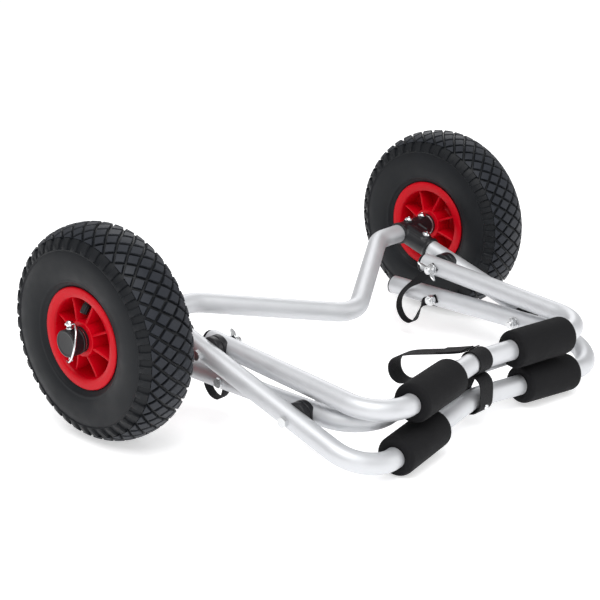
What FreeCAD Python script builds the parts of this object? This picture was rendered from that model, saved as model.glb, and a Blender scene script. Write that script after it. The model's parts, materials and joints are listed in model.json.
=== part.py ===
"""Folding two-wheel trolley for a kayak or canoe, folded flat.

Three bent tubes nest in each other: the lower frame carries the wheels, the
upper frame swings up from it to make the V-shaped hull cradle, and the prop
frame swings down as the stand.  Millimetres, +X along the axle to the right
wheel, -Y towards the padded bars, +Z up, origin on the floor under the middle
of the model's box.
"""
import FreeCAD, Part

import math
import os

import Sketcher
from FreeCAD import Placement, Rotation, Vector

DIMENSIONS = [
    ("wheel_radius", 130, "tyre outer radius"),
    ("wheel_plane", 320, "axle centre to the wheel's middle plane"),
    ("axle_back", 110, "axle line behind the origin"),
    ("tyre_ring", 88.4, "radius of the tyre section's centre"),
    ("tyre_section", 41.6, "tyre section radius"),
    ("tyre_wall", 6, "tyre wall"),
    ("bead_radius", 50.8, "bead seat, half of a 4 inch rim"),
    ("bead_inside", 24, "inner side of a bead from the middle plane"),
    ("bead_outside", 31.5, "outer side of a bead from the middle plane"),
    ("tyre_neck", 33, "tyre section's half width beside the flange"),
    ("bead_height", 62.1, "radius where a bead meets the side wall"),
    ("lip_radius", 61.8, "rim flange"),
    ("lip_width", 34.5, "rim flange from the middle plane"),
    ("rim_wall", 3, "rim wall"),
    ("web_half", 6, "half of the rim web's thickness"),
    ("hub_radius", 22, "rim hub"),
    ("hub_bore", 13, "rim hub bore"),
    ("hub_half", 34, "half of the rim hub's length"),
    ("rib_count", 8, "ribs on each face of the rim"),
    ("rib_thick", 3, "rib thickness"),
    ("rib_inset", 5, "rib edge below the flange"),
    ("axle_radius", 10, "axle stub"),
    ("axle_slack", 0.05, "running clearance of a bore on its pin"),
    ("axle_inner", 240, "axle stub's inner end"),
    ("axle_outer", 374, "axle stub's outer end"),
    ("cap_radius", 16.5, "axle end cap"),
    ("cap_inner", 358, "axle end cap's inner face"),
    ("cap_outer", 376, "axle end cap's outer face"),
    ("pin_station", 368.5, "lynch pin from the middle"),
    ("pin_radius", 3, "lynch pin"),
    ("pin_reach", 23, "lynch pin tip below the axle line"),
    ("head_height", 22.2, "lynch pin's head above the axle line"),
    ("pin_head", 4.6, "lynch pin's ball head"),
    ("wire_radius", 1.25, "wire of the lynch pin's bow"),
    ("bow_entry", 6, "bow's upper end from the pin's centre line"),
    ("bow_exit", 4.5, "bow's free end from the pin's centre line"),
    ("bow_angle", 59, "which way the bow bulges, degrees forwards of outwards"),
    ("tube_radius", 12.5, "frame tube"),
    ("tube_wall", 1.5, "frame tube wall"),
    ("bend_radius", 46, "centre line radius of the frame corners"),
    ("middle_bend", 90, "centre line radius at the middle of a crossbar"),
    ("bar_angle", 8.8, "slope of each half of a crossbar"),
    ("lower_half", 236, "lower frame leg from the middle"),
    ("lower_start", 47, "lower frame tube's end from the axle"),
    ("lower_reach", 314.4, "lower frame: axle to the crossbar's middle"),
    ("upper_half", 206, "upper frame leg from the middle"),
    ("upper_tail", 22, "upper frame leg behind its pivot"),
    ("upper_reach", 217.8, "upper frame: pivot to the crossbar's middle"),
    ("upper_tilt", 5.62, "upper frame's slope when folded, degrees"),
    ("prop_half", 206, "prop frame leg from the middle"),
    ("prop_tail", 213, "prop frame leg behind its pivot"),
    ("prop_reach", 47, "prop frame: pivot to the crossbar's middle"),
    ("prop_tilt", 0.57, "prop frame's slope when folded, degrees"),
    ("cradle_pivot", 88.3, "axle to the upper frame's pivot along the leg"),
    ("prop_pivot", 232, "axle to the prop frame's pivot along the leg"),
    ("limiter_hole", 134, "prop pivot to the limiter bolt along the leg"),
    ("bolt_radius", 4, "M8 bolt"),
    ("arch_end", 227, "arch tube's end from the middle"),
    ("arch_corner", 178, "arch tube's corner from the middle"),
    ("arch_angle", 33.6, "slope of the arch tube's legs, degrees"),
    ("arch_bend", 50, "centre line radius of the arch corners"),
    ("arch_apex_bend", 45, "centre line radius of the arch's apex"),
    ("arch_tilt", 16.7, "slope of the arch tube's plane, degrees"),
    ("pad_radius", 24, "foam pad"),
    ("lower_pad_length", 90, "lower foam pad along the bar"),
    ("upper_pad_length", 93, "upper foam pad along the bar"),
    ("lower_pad_start", 86, "lower pad's inner end from the middle"),
    ("lower_pad_shift", 6, "how far the lower pads sit to the left of even"),
    ("upper_pad_start", 60, "upper pad's inner end from the middle"),
    ("collar_radius", 14.5, "bracket arms"),
    ("leg_arm_start", 12.8, "bracket's leg arm, from the axle"),
    ("block_middle", 243.5, "block between the bracket's arms, from the middle"),
    ("block_width", 32, "that block along the axle"),
    ("block_length", 38, "that block along the leg"),
    ("block_front", 34, "that block's front face, from the axle"),
    ("block_height", 14.5, "that block's height"),
    ("block_drop", 2, "that block's floor below the leg's centre line"),
    ("screw_head", 5.5, "dome screw head"),
    ("screw_radius", 2, "dome screw shank"),
    ("screw_depth", 4, "dome screw below its head"),
    ("arch_screw", 245.5, "screw in the bracket's arch arm, from the middle"),
    ("axle_screw", 275, "screw in the bracket's axle arm, from the middle"),
    ("leg_screw", 36, "screw in the bracket's leg arm, from the axle"),
    ("spigot_length", 26, "bracket spigot inside a tube"),
    ("arm_end", 282, "end of the bracket's axle arm"),
    ("washer_thick", 1.5, "washer"),
    ("thrust_washer", 15, "washer beside a hub"),
    ("lap", 1, "how far a cutting or joining shape runs past its face"),
    ("tube_lap", 2, "collar of a bracket over its own spigot"),
    ("bush_flange_thick", 2, "hub bush flange"),
    ("lip_round", 4, "step in the rim flange's outer edge"),
    ("valve_cap_wall", 0.6, "valve cap's wall outside the stem"),
    ("tube_gap", 1, "inner tube inside the tyre"),
    ("tube_skin", 1.6, "inner tube's wall"),
    ("saddle_bite", 3, "spacer past the middle line of its leg"),
    ("nut_collar", 2, "lock nut's collar"),
    ("nut_collar_wall", 1.6, "lock nut's collar outside the bolt"),
    ("wing_hub_wall", 3.2, "wing nut hub's wall"),
    ("wing_lead", 4, "wings past the hub's inner end"),
    ("wing_root", 1, "wings' root inside the hub's wall"),
    ("plug_length", 12, "end cap's plug"),
    ("flange_length", 3, "end cap's flange"),
    ("flange_lip", 0.3, "end cap's flange past the tube"),
    ("limiter_tail", 12, "limiter bolt past the inside of its leg"),
    ("limiter_head", 3.5, "limiter bolt's low head"),
    ("tab_margin", 1.5, "strap's round end past its half width"),
    ("washer_radius", 8.5, "M8 washer"),
    ("bush_length", 18, "hub bush sleeve"),
    ("bush_flange", 15.5, "hub bush flange"),
    ("valve_radius", 4, "valve stem"),
    ("valve_station", 13, "valve root from the wheel's middle plane"),
    ("valve_root", 51, "valve root above the axle"),
    ("valve_length", 15, "valve stem"),
    ("valve_cap", 12, "valve cap"),
    ("valve_lean", 35, "valve's lean outwards, degrees"),
    ("saddle_radius", 16, "spacer between two legs"),
    ("saddle_gap", 0.4, "gap between the two halves of a spacer"),
    ("face_gap", 0.3, "gap between parts that turn on each other"),
    ("nut_across", 13, "M8 nut across flats"),
    ("nut_thick", 6.5, "M8 nut"),
    ("bolt_head", 5.3, "M8 bolt head"),
    ("cradle_bolt_tail", 180, "cradle bolt's inner end from the middle"),
    ("prop_bolt_tail", 181, "prop bolt's inner end from the middle"),
    ("wing_hub", 8, "wing nut hub"),
    ("wing_reach", 13, "wing nut's wing"),
    ("wing_thick", 2.5, "wing nut's wing"),
    ("wing_angle", 35, "wing nut's wings, degrees"),
    ("strap_width", 25, "spreader strap"),
    ("strap_thick", 1.6, "webbing"),
    ("limiter_width", 12, "limiter strap"),
]

doc = FreeCAD.newDocument("kayak_trolley")
sheet = doc.addObject("Spreadsheet::Sheet", "Dims")
for row, (alias, number, note) in enumerate(DIMENSIONS, start=1):
    sheet.set("A%d" % row, str(number))
    sheet.setAlias("A%d" % row, alias)
    sheet.set("B%d" % row, note)
doc.recompute()


class Size:
    """A number together with the spreadsheet formula that gives it."""

    def __init__(self, value, formula):
        self.value = float(value)
        self.formula = formula

    def __float__(self):
        return self.value

    def __add__(self, other):
        other = sized(other)
        return Size(self.value + other.value, "(%s + %s)" % (self.formula, other.formula))

    def __sub__(self, other):
        other = sized(other)
        return Size(self.value - other.value, "(%s - %s)" % (self.formula, other.formula))

    def __mul__(self, other):
        other = sized(other)
        return Size(self.value * other.value, "(%s * %s)" % (self.formula, other.formula))

    def __truediv__(self, other):
        other = sized(other)
        return Size(self.value / other.value, "(%s / %s)" % (self.formula, other.formula))

    def __neg__(self):
        return Size(-self.value, "(0 - %s)" % self.formula)


def sized(number):
    """The number as a Size, with its own text as the formula if it is plain."""
    if isinstance(number, Size):
        return number
    return Size(number, repr(float(number)))


class Cells:
    """The spreadsheet's named cells, as Sizes."""

    def __init__(self, rows):
        for alias, number, _ in rows:
            setattr(self, alias, Size(number, "Dims." + alias))


cell = Cells(DIMENSIONS)
ZERO = sized(0)
SIDES = (("left", -1), ("right", 1))
ALONG_X = Rotation(Vector(0, 1, 0), 90)
subparts = []


def bind(target, **sizes):
    """Bind an object's properties to the spreadsheet."""
    for name, size in sizes.items():
        target.setExpression(name, sized(size).formula)


def keep(target, label, placement=None):
    """Register an object as a sub-part of the model."""
    target.Label = label
    if placement is not None:
        target.Placement = placement
    subparts.append(target)
    return target


def rotation_x(degrees):
    return Rotation(Vector(1, 0, 0), float(degrees))


# ---------------------------------------------------------------- places
AXLE = Vector(0, float(cell.axle_back), float(cell.wheel_radius))
PAD_DROP = float(cell.wheel_radius) - float(cell.pad_radius)
BAR_SLOPE = math.tan(math.radians(float(cell.bar_angle)))
PAD_END = float(cell.lower_pad_start + cell.lower_pad_length + cell.lower_pad_shift)
PAD_REACH = float(cell.lower_reach) + BAR_SLOPE * PAD_END
LOWER_TILT = math.degrees(math.asin(PAD_DROP / PAD_REACH))   # the lower pads rest on the floor
LOWER_FRAME = Placement(AXLE, rotation_x(LOWER_TILT))
CRADLE_PIVOT = LOWER_FRAME.multVec(Vector(0, -float(cell.cradle_pivot), 0))
PROP_PIVOT = LOWER_FRAME.multVec(Vector(0, -float(cell.prop_pivot), 0))
UPPER_FRAME = Placement(CRADLE_PIVOT, rotation_x(cell.upper_tilt))
PROP_FRAME = Placement(PROP_PIVOT, rotation_x(cell.prop_tilt))
ARCH_FRAME = Placement(AXLE, rotation_x(cell.arch_tilt))


# ---------------------------------------------------------------- Part primitives
def cylinder(radius, length, placement):
    """A cylinder about local Z of the placement."""
    body = doc.addObject("Part::Cylinder", "Cylinder")
    bind(body, Radius=radius, Height=length)
    body.Placement = placement
    return body


def rod_x(radius, start, end, side, y=0.0, z=0.0):
    """A cylinder along X on one side, from start to end, both from the middle."""
    start = sized(start)
    end = sized(end)
    nearest = float(start) if side > 0 else -float(end)
    return cylinder(radius, end - start, Placement(Vector(nearest, y, z), ALONG_X))


def box(length, width, height, placement):
    """A box with its corner at the placement's origin."""
    body = doc.addObject("Part::Box", "Box")
    bind(body, Length=length, Width=width, Height=height)
    body.Placement = placement
    return body


def torus(ring, section, placement, sweep=360.0):
    """A ring about local Z of the placement."""
    body = doc.addObject("Part::Torus", "Torus")
    bind(body, Radius1=ring, Radius2=section)
    body.Angle3 = sweep
    body.Placement = placement
    return body


def ball(radius, centre):
    body = doc.addObject("Part::Sphere", "Ball")
    bind(body, Radius=radius)
    body.Placement = Placement(centre, Rotation())
    return body


def fuse(*shapes):
    if len(shapes) == 1:
        return shapes[0]
    body = doc.addObject("Part::MultiFuse", "Fusion")
    body.Shapes = list(shapes)
    return body


def cut(base, *tools):
    body = doc.addObject("Part::Cut", "Cut")
    body.Base = base
    body.Tool = fuse(*tools)
    return body


def group(*shapes):
    """Separate solids in one sub-part."""
    body = doc.addObject("Part::Compound", "Group")
    body.Links = list(shapes)
    return body


# ---------------------------------------------------------------- sketches
def origin_plane(body, role):
    for feature in body.Origin.OriginFeatures:
        if feature.Role == role:
            return feature
    raise ValueError(role)


def sketch_on(body, role, name, offset=ZERO):
    """A sketch on one of the body's origin planes, moved along the plane's normal."""
    sketch = body.newObject("Sketcher::SketchObject", name)
    sketch.AttachmentSupport = [(origin_plane(body, role), "")]
    sketch.MapMode = "FlatFace"
    sketch.AttachmentOffset = Placement(Vector(0, 0, float(offset)), Rotation())
    sketch.setExpression("AttachmentOffset.Base.z", sized(offset).formula)
    return sketch


def pin_down(sketch, element, position, kind, size):
    """Hold a point's X or Y, or an element's radius or angle, at a size."""
    value = float(size)
    if kind == "Angle":
        value = math.radians(value)
    if kind in ("Radius", "Angle"):
        number = sketch.addConstraint(Sketcher.Constraint(kind, element, value))
    else:
        number = sketch.addConstraint(Sketcher.Constraint(kind, -1, 1, element, position, value))
    sketch.setExpression("Constraints[%d]" % number, sized(size).formula)


def circle(sketch, x, y, radius):
    centre = Vector(float(x), float(y), 0)
    element = sketch.addGeometry(Part.Circle(centre, Vector(0, 0, 1), float(radius)))
    pin_down(sketch, element, 3, "DistanceX", x)
    pin_down(sketch, element, 3, "DistanceY", y)
    pin_down(sketch, element, 0, "Radius", radius)


def polygon(sketch, points):
    """A closed outline of straight lines, each corner held at its two sizes."""
    places = [Vector(float(x), float(y), 0) for x, y in points]
    lines = []
    for place, following in zip(places, places[1:] + places[:1]):
        lines.append(sketch.addGeometry(Part.LineSegment(place, following)))
    for line, following in zip(lines, lines[1:] + lines[:1]):
        sketch.addConstraint(Sketcher.Constraint("Coincident", line, 2, following, 1))
    for line, (x, y) in zip(lines, points):
        pin_down(sketch, line, 1, "DistanceX", x)
        pin_down(sketch, line, 1, "DistanceY", y)


def arc_between(start, end, centre):
    """An arc from start to end, and which of its own ends each of them is."""
    first = start - centre
    last = end - centre
    radius = first.Length
    begin = math.atan2(first.y, first.x)
    finish = math.atan2(last.y, last.x)
    turn = (finish - begin) % (2 * math.pi)
    base = Part.Circle(centre, Vector(0, 0, 1), radius)
    if turn < math.pi:
        return Part.ArcOfCircle(base, begin, begin + turn), 1, 2
    return Part.ArcOfCircle(base, finish, finish + 2 * math.pi - turn), 2, 1


def bent_path(sketch, start, corner, middle_y, angle, corner_bend, middle_bend):
    """A path symmetrical about Y: a run, a corner, a sloping run, and the middle bend."""
    start_v = Vector(float(start[0]), float(start[1]), 0)
    corner_v = Vector(float(corner[0]), float(corner[1]), 0)
    middle_v = Vector(0, float(middle_y), 0)
    first = (corner_v - start_v).normalize()
    slope = (middle_v - corner_v).normalize()
    turn = first.getAngle(slope)
    setback = float(corner_bend) * math.tan(turn / 2)
    bend_in = corner_v - first * setback
    bend_out = corner_v + slope * setback
    inward = (slope - first).normalize()
    centre = corner_v + inward * (float(corner_bend) / math.cos(turn / 2))
    rise = abs(math.atan2(slope.y, slope.x))
    side = -1 if slope.y > 0 else 1
    middle_centre = middle_v + Vector(0, side * float(middle_bend) / math.cos(rise), 0)
    middle_in = middle_v - slope * (float(middle_bend) * math.tan(rise))

    def mirror(point):
        return Vector(-point.x, point.y, 0)

    runs = [(start_v, bend_in), (bend_out, middle_in),
            (mirror(middle_in), mirror(bend_out)), (mirror(bend_in), mirror(start_v))]
    bends = [(bend_in, bend_out, centre), (middle_in, mirror(middle_in), middle_centre),
             (mirror(bend_out), mirror(bend_in), mirror(centre))]
    lines = [sketch.addGeometry(Part.LineSegment(a, b)) for a, b in runs]
    arcs = []
    for number, (a, b, middle) in enumerate(bends):
        arc, near, far = arc_between(a, b, middle)
        element = sketch.addGeometry(arc)
        arcs.append(element)
        sketch.addConstraint(Sketcher.Constraint("Tangent", lines[number], 2, element, near))
        sketch.addConstraint(Sketcher.Constraint("Tangent", element, far, lines[number + 1], 1))
    straight = "Vertical" if abs(first.y) > abs(first.x) else "Horizontal"
    sketch.addConstraint(Sketcher.Constraint(straight, lines[0]))
    sketch.addConstraint(Sketcher.Constraint(straight, lines[3]))
    pin_down(sketch, lines[0], 1, "DistanceX", start[0])
    pin_down(sketch, lines[0], 1, "DistanceY", start[1])
    sketch.addConstraint(Sketcher.Constraint("Symmetric", lines[0], 1, lines[3], 2, -2))
    for arc, bend in zip(arcs, (corner_bend, middle_bend, corner_bend)):
        pin_down(sketch, arc, 0, "Radius", bend)
    sketch.addConstraint(Sketcher.Constraint("PointOnObject", arcs[1], 3, -2))
    fixed = sketch.addConstraint(
        Sketcher.Constraint("DistanceY", -1, 1, arcs[1], 3, middle_centre.y))
    spread = "%s / cos(%s * 1 deg)" % (sized(middle_bend).formula, sized(angle).formula)
    sign = "-" if side < 0 else "+"
    sketch.setExpression("Constraints[%d]" % fixed,
                         "%s %s %s" % (sized(middle_y).formula, sign, spread))
    rising = sized(angle) if slope.y > 0 else -sized(angle)
    pin_down(sketch, lines[1], 0, "Angle", rising)
    pin_down(sketch, lines[2], 0, "Angle", -rising)
    return len(runs) + len(bends)


def tube_body(name, plane, offset, centre_x, path):
    """A hollow round tube swept along a bent path."""
    body = doc.addObject("PartDesign::Body", name)
    route = sketch_on(body, "XY_Plane", "Route")
    edges = bent_path(route, *path)
    section = sketch_on(body, plane, "Section", offset)
    circle(section, centre_x, ZERO, cell.tube_radius)
    circle(section, centre_x, ZERO, cell.tube_radius - cell.tube_wall)
    pipe = body.newObject("PartDesign::AdditivePipe", "Pipe")
    pipe.Profile = section
    pipe.Spine = (route, ["Edge%d" % (edge + 1) for edge in range(edges)])
    doc.recompute()
    return body


def drill(body, stations):
    """Holes along X through both legs, at stations (distance along the leg, radius)."""
    sketch = sketch_on(body, "YZ_Plane", "Holes")
    for station, radius in stations:
        circle(sketch, station, ZERO, radius)
    pocket = body.newObject("PartDesign::Pocket", "Drilling")
    pocket.Profile = sketch
    pocket.Type = "ThroughAll"
    pocket.Midplane = True
    before = body.Shape.Volume
    doc.recompute()
    if not body.Shape.Volume < before - 1:
        raise ValueError("nothing drilled in " + body.Name)


# ---------------------------------------------------------------- frame tubes
def u_frame(label, placement, half, start, reach, holes):
    """A U of tube: two legs and a shallow V crossbar, local Y along the legs."""
    corner_y = -(sized(reach) + sized(half) * BAR_SLOPE)
    path = ((-half, start), (-half, corner_y), -reach, cell.bar_angle,
            cell.bend_radius, cell.middle_bend)
    body = tube_body(label, "XZ_Plane", -start, -half, path)
    drill(body, holes)
    return keep(body, label, placement)


bolt_hole = cell.bolt_radius + cell.axle_slack
lower_frame = u_frame("lower_frame_tube", LOWER_FRAME, cell.lower_half, -cell.lower_start,
                      cell.lower_reach, [(-cell.cradle_pivot, cell.bolt_radius),
                                         (-cell.prop_pivot, cell.bolt_radius)])
upper_frame = u_frame("upper_frame_tube", UPPER_FRAME, cell.upper_half, cell.upper_tail,
                      cell.upper_reach, [(ZERO, bolt_hole)])
prop_frame = u_frame("prop_frame_tube", PROP_FRAME, cell.prop_half, cell.prop_tail,
                     cell.prop_reach, [(ZERO, bolt_hole), (cell.limiter_hole, cell.bolt_radius)])

ARCH_RISE = math.tan(math.radians(float(cell.arch_angle)))
arch_path = ((-cell.arch_end, ZERO), (-cell.arch_corner, ZERO), -cell.arch_corner * ARCH_RISE,
             cell.arch_angle, cell.arch_bend, cell.arch_apex_bend)
keep(tube_body("arch_tube", "YZ_Plane", -cell.arch_end, ZERO, arch_path), "arch_tube", ARCH_FRAME)


# ---------------------------------------------------------------- foam pads
def bar_placement(frame, reach, side, start):
    """Placement with local Z along one half of a crossbar, from a distance out."""
    outward = Vector(side, -BAR_SLOPE, 0).normalize()
    foot = Vector(side * float(start), -float(reach) - BAR_SLOPE * float(start), 0)
    local = Placement(foot, Rotation(Vector(0, 0, 1), outward))
    return frame.multiply(local)


def foam_pads(prefix, frame, reach, start, length, shift=ZERO):
    for side_name, side in SIDES:
        where = bar_placement(frame, reach, side, float(start) - side * float(shift))
        outside = cylinder(cell.pad_radius, length, where)
        inside = cylinder(cell.tube_radius, length, where)
        keep(cut(outside, inside), "%s_pad_%s" % (prefix, side_name))


foam_pads("lower", LOWER_FRAME, cell.lower_reach, cell.lower_pad_start, cell.lower_pad_length,
          cell.lower_pad_shift)
foam_pads("upper", UPPER_FRAME, cell.upper_reach, cell.upper_pad_start, cell.upper_pad_length)


# ---------------------------------------------------------------- brackets and axle stubs
def leg_cylinder(radius, start, end, x, frame=LOWER_FRAME):
    """A cylinder along a frame's legs, from one distance to another in front."""
    turn = Rotation(Vector(1, 0, 0), 90)
    local = Placement(Vector(x, -float(start), 0), turn)
    return cylinder(radius, sized(end) - sized(start), frame.multiply(local))


def screw_places(side):
    """Where a bracket's three screw heads sit: arch arm, axle arm and leg arm."""
    top = AXLE.z + float(cell.collar_radius)
    places = [Placement(Vector(side * station, AXLE.y, top), Rotation())
              for station in (float(cell.arch_screw), float(cell.axle_screw))]
    leg_top = Vector(side * float(cell.lower_half), -float(cell.leg_screw),
                     float(cell.collar_radius))
    return places + [LOWER_FRAME.multiply(Placement(leg_top, Rotation()))]


SCREW_FOOT = Placement(Vector(0, 0, -float(cell.screw_depth)), Rotation())


def bracket(side_name, side):
    y, z = AXLE.y, AXLE.z
    leg_x = side * float(cell.lower_half)
    bore = cell.tube_radius - cell.tube_wall
    arch_arm = rod_x(cell.collar_radius, cell.arch_end, cell.arm_end, side, y, z)
    spigot = rod_x(bore, cell.arch_end - cell.spigot_length, cell.arch_end + cell.tube_lap,
                   side, y, z)
    leg_arm = leg_cylinder(cell.collar_radius, cell.leg_arm_start, cell.lower_start, leg_x)
    leg_spigot = leg_cylinder(bore, cell.lower_start - cell.tube_lap,
                              cell.lower_start + cell.spigot_length, leg_x)
    block_corner = Vector(side * float(cell.block_middle) - float(cell.block_width) / 2,
                          -float(cell.block_front), -float(cell.block_drop))
    block = box(cell.block_width, cell.block_length, cell.block_height,
                LOWER_FRAME.multiply(Placement(block_corner, Rotation())))
    whole = fuse(arch_arm, leg_arm, block, spigot, leg_spigot)
    stub_hole = rod_x(cell.axle_radius, cell.axle_inner, cell.arm_end + cell.lap, side, y, z)
    screw_holes = [cylinder(cell.screw_radius, cell.screw_depth, place.multiply(SCREW_FOOT))
                   for place in screw_places(side)]
    keep(cut(whole, stub_hole, *screw_holes), "bracket_%s" % side_name)


for side_name, side in SIDES:
    bracket(side_name, side)


def axle_parts(side_name, side):
    y, z = AXLE.y, AXLE.z
    station = side * float(cell.pin_station)
    hole = cell.pin_radius + cell.axle_slack
    upright = Placement(Vector(station, y, z - float(cell.cap_radius * 2)), Rotation())
    stub = rod_x(cell.axle_radius, cell.axle_inner, cell.axle_outer, side, y, z)
    keep(cut(stub, cylinder(hole, cell.cap_radius * 4, upright)), "axle_stub_%s" % side_name)
    cap = rod_x(cell.cap_radius, cell.cap_inner, cell.cap_outer, side, y, z)
    socket = rod_x(cell.axle_radius, cell.cap_inner - cell.lap, cell.axle_outer, side, y, z)
    keep(cut(cap, socket, cylinder(hole, cell.cap_radius * 4, upright)),
         "axle_end_cap_%s" % side_name)

    tip = Placement(Vector(station, y, z - float(cell.pin_reach)), Rotation())
    head_place = Vector(station, y, z + float(cell.head_height))
    angle = math.radians(float(cell.bow_angle))
    outwards = Vector(side * math.cos(angle), -math.sin(angle), 0)
    inwards = Vector(-side * math.sin(angle), -math.cos(angle), 0)
    entry = head_place + inwards * float(cell.bow_entry)
    shank = cylinder(cell.pin_radius, cell.pin_reach + cell.head_height, tip)
    eye = cylinder(cell.wire_radius + cell.axle_slack * 2, cell.bow_entry * 2,
                   Placement(entry, Rotation(Vector(0, 0, 1), -inwards)))
    keep(cut(fuse(shank, ball(cell.pin_head, head_place)), eye), "lynch_pin_%s" % side_name)
    keep(lynch_bow(head_place, entry, inwards, outwards), "lynch_bow_%s" % side_name)


def lynch_bow(head_place, entry, inwards, outwards):
    """A wire bow: its end turns through the pin's head, and its free end hooks the tip."""
    drop = Vector(0, 0, float(cell.head_height * 2))
    free_end = head_place - inwards * float(cell.bow_exit) - drop
    chord = free_end - entry
    plane = Rotation(chord, outwards, chord.cross(outwards), "XYZ")
    arc = torus(chord.Length / 2, cell.wire_radius, Placement((entry + free_end) * 0.5, plane), 180)
    through = cylinder(cell.wire_radius, cell.bow_entry + cell.pin_head + cell.lap,
                       Placement(entry, Rotation(Vector(0, 0, 1), -inwards)))
    return fuse(arc, ball(cell.wire_radius, entry), through)


for side_name, side in SIDES:
    axle_parts(side_name, side)


# ---------------------------------------------------------------- screws on the brackets
def dome_screw(place):
    """A dome-headed screw, its head's flat at the place and its shank below."""
    dome = doc.addObject("Part::Sphere", "Dome")
    bind(dome, Radius=cell.screw_head)
    dome.Angle1 = 0
    dome.Placement = place
    return fuse(dome, cylinder(cell.screw_radius, cell.screw_depth, place.multiply(SCREW_FOOT)))


keep(group(*[dome_screw(place) for _, side in SIDES for place in screw_places(side)]),
     "bracket_screws")


# ---------------------------------------------------------------- wheels
def rim(label):
    """A one-piece rim about local X: flanges, bead seat, web, hub and ribs."""
    body = doc.addObject("PartDesign::Body", label)
    section = sketch_on(body, "XY_Plane", "Section")
    seat_inside = cell.bead_radius - cell.rim_wall
    lip_inside = cell.lip_width - cell.rim_wall
    half = [(cell.hub_half, cell.hub_bore), (cell.hub_half, cell.hub_radius),
            (cell.web_half, cell.hub_radius), (cell.web_half, seat_inside),
            (lip_inside, seat_inside), (cell.lip_width, cell.lip_radius - cell.lip_round),
            (cell.lip_width, cell.lip_radius), (lip_inside, cell.lip_radius),
            (lip_inside, cell.bead_radius)]
    outline = half + [(-x, radius) for x, radius in reversed(half)]
    polygon(section, outline)
    turned = body.newObject("PartDesign::Revolution", "Turned")
    turned.Profile = section
    turned.ReferenceAxis = (section, ["H_Axis"])
    turned.Angle = 360
    doc.recompute()
    rib_sketch = sketch_on(body, "XY_Plane", "RibShape")
    for sign in (1, -1):
        foot = cell.web_half * sign
        crest = (cell.lip_width - cell.rib_inset) * sign
        polygon(rib_sketch, [(foot, cell.hub_radius - cell.lap), (foot, seat_inside + cell.lap),
                             (crest, seat_inside + cell.lap), (crest, cell.hub_radius - cell.lap)])
    rib = body.newObject("PartDesign::Pad", "Rib")
    rib.Profile = rib_sketch
    rib.Midplane = True
    rib.setExpression("Length", cell.rib_thick.formula)
    doc.recompute()
    ribs = body.newObject("PartDesign::PolarPattern", "Ribs")
    ribs.Originals = [rib]
    ribs.Axis = (section, ["H_Axis"])
    ribs.Angle = 360
    ribs.Occurrences = int(float(cell.rib_count))
    body.Tip = ribs
    doc.recompute()
    return body


def axis_x(centre, offset=0.0):
    return Placement(centre + Vector(offset, 0, 0), ALONG_X)


def tyre(label, centre):
    """A tyre about local X: an open round section with a bead foot on each side."""
    body = doc.addObject("PartDesign::Body", label)
    section = sketch_on(body, "XY_Plane", "Section")
    middle = Vector(0, float(cell.tyre_ring), 0)
    arcs = []
    for radius, x in ((cell.tyre_section, cell.tyre_neck),
                      (cell.tyre_section - cell.tyre_wall, cell.bead_inside)):
        foot = math.acos(float(x) / float(radius))
        ring = Part.Circle(middle, Vector(0, 0, 1), float(radius))
        arc = section.addGeometry(Part.ArcOfCircle(ring, -foot, math.pi + foot))
        pin_down(section, arc, 3, "DistanceX", ZERO)
        pin_down(section, arc, 3, "DistanceY", cell.tyre_ring)
        pin_down(section, arc, 0, "Radius", radius)
        pin_down(section, arc, 1, "DistanceX", x)
        pin_down(section, arc, 2, "DistanceX", -x)
        arcs.append(arc)
    for end, sign in ((1, 1), (2, -1)):
        corners = [(cell.bead_outside * sign, cell.bead_height),
                   (cell.bead_outside * sign, cell.bead_radius),
                   (cell.bead_inside * sign, cell.bead_radius)]
        neck = section.getPoint(arcs[0], end)
        inside = section.getPoint(arcs[1], end)
        places = [neck] + [Vector(float(x), float(y), 0) for x, y in corners] + [inside]
        lines = [section.addGeometry(Part.LineSegment(a, b)) for a, b in zip(places, places[1:])]
        section.addConstraint(Sketcher.Constraint("Coincident", arcs[0], end, lines[0], 1))
        section.addConstraint(Sketcher.Constraint("Coincident", arcs[1], end, lines[-1], 2))
        for line, following, (x, y) in zip(lines, lines[1:], corners):
            section.addConstraint(Sketcher.Constraint("Coincident", line, 2, following, 1))
            pin_down(section, line, 2, "DistanceX", x)
            pin_down(section, line, 2, "DistanceY", y)
    turned = body.newObject("PartDesign::Revolution", "Turned")
    turned.Profile = section
    turned.ReferenceAxis = (section, ["H_Axis"])
    turned.Angle = 360
    doc.recompute()
    return keep(body, label, Placement(centre, Rotation()))


def valve(side_name, side, centre):
    """Valve stem and its cap, leaning outwards from the rim well at the top of the wheel."""
    angle = math.radians(float(cell.valve_lean))
    lean = Vector(side * math.sin(angle), 0, -math.cos(angle))
    root = centre + Vector(side * float(cell.valve_station), 0, float(cell.valve_root))
    turn = Rotation(Vector(0, 0, 1), lean)
    stem_end = root + lean * float(cell.valve_length)
    keep(cylinder(cell.valve_radius, cell.valve_length, Placement(root, turn)),
         "valve_stem_%s" % side_name)
    keep(cylinder(cell.valve_radius + cell.valve_cap_wall, cell.valve_cap, Placement(stem_end, turn)),
         "valve_cap_%s" % side_name)
    return cylinder(cell.valve_radius, cell.valve_length + cell.lap, Placement(root, turn))


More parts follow.
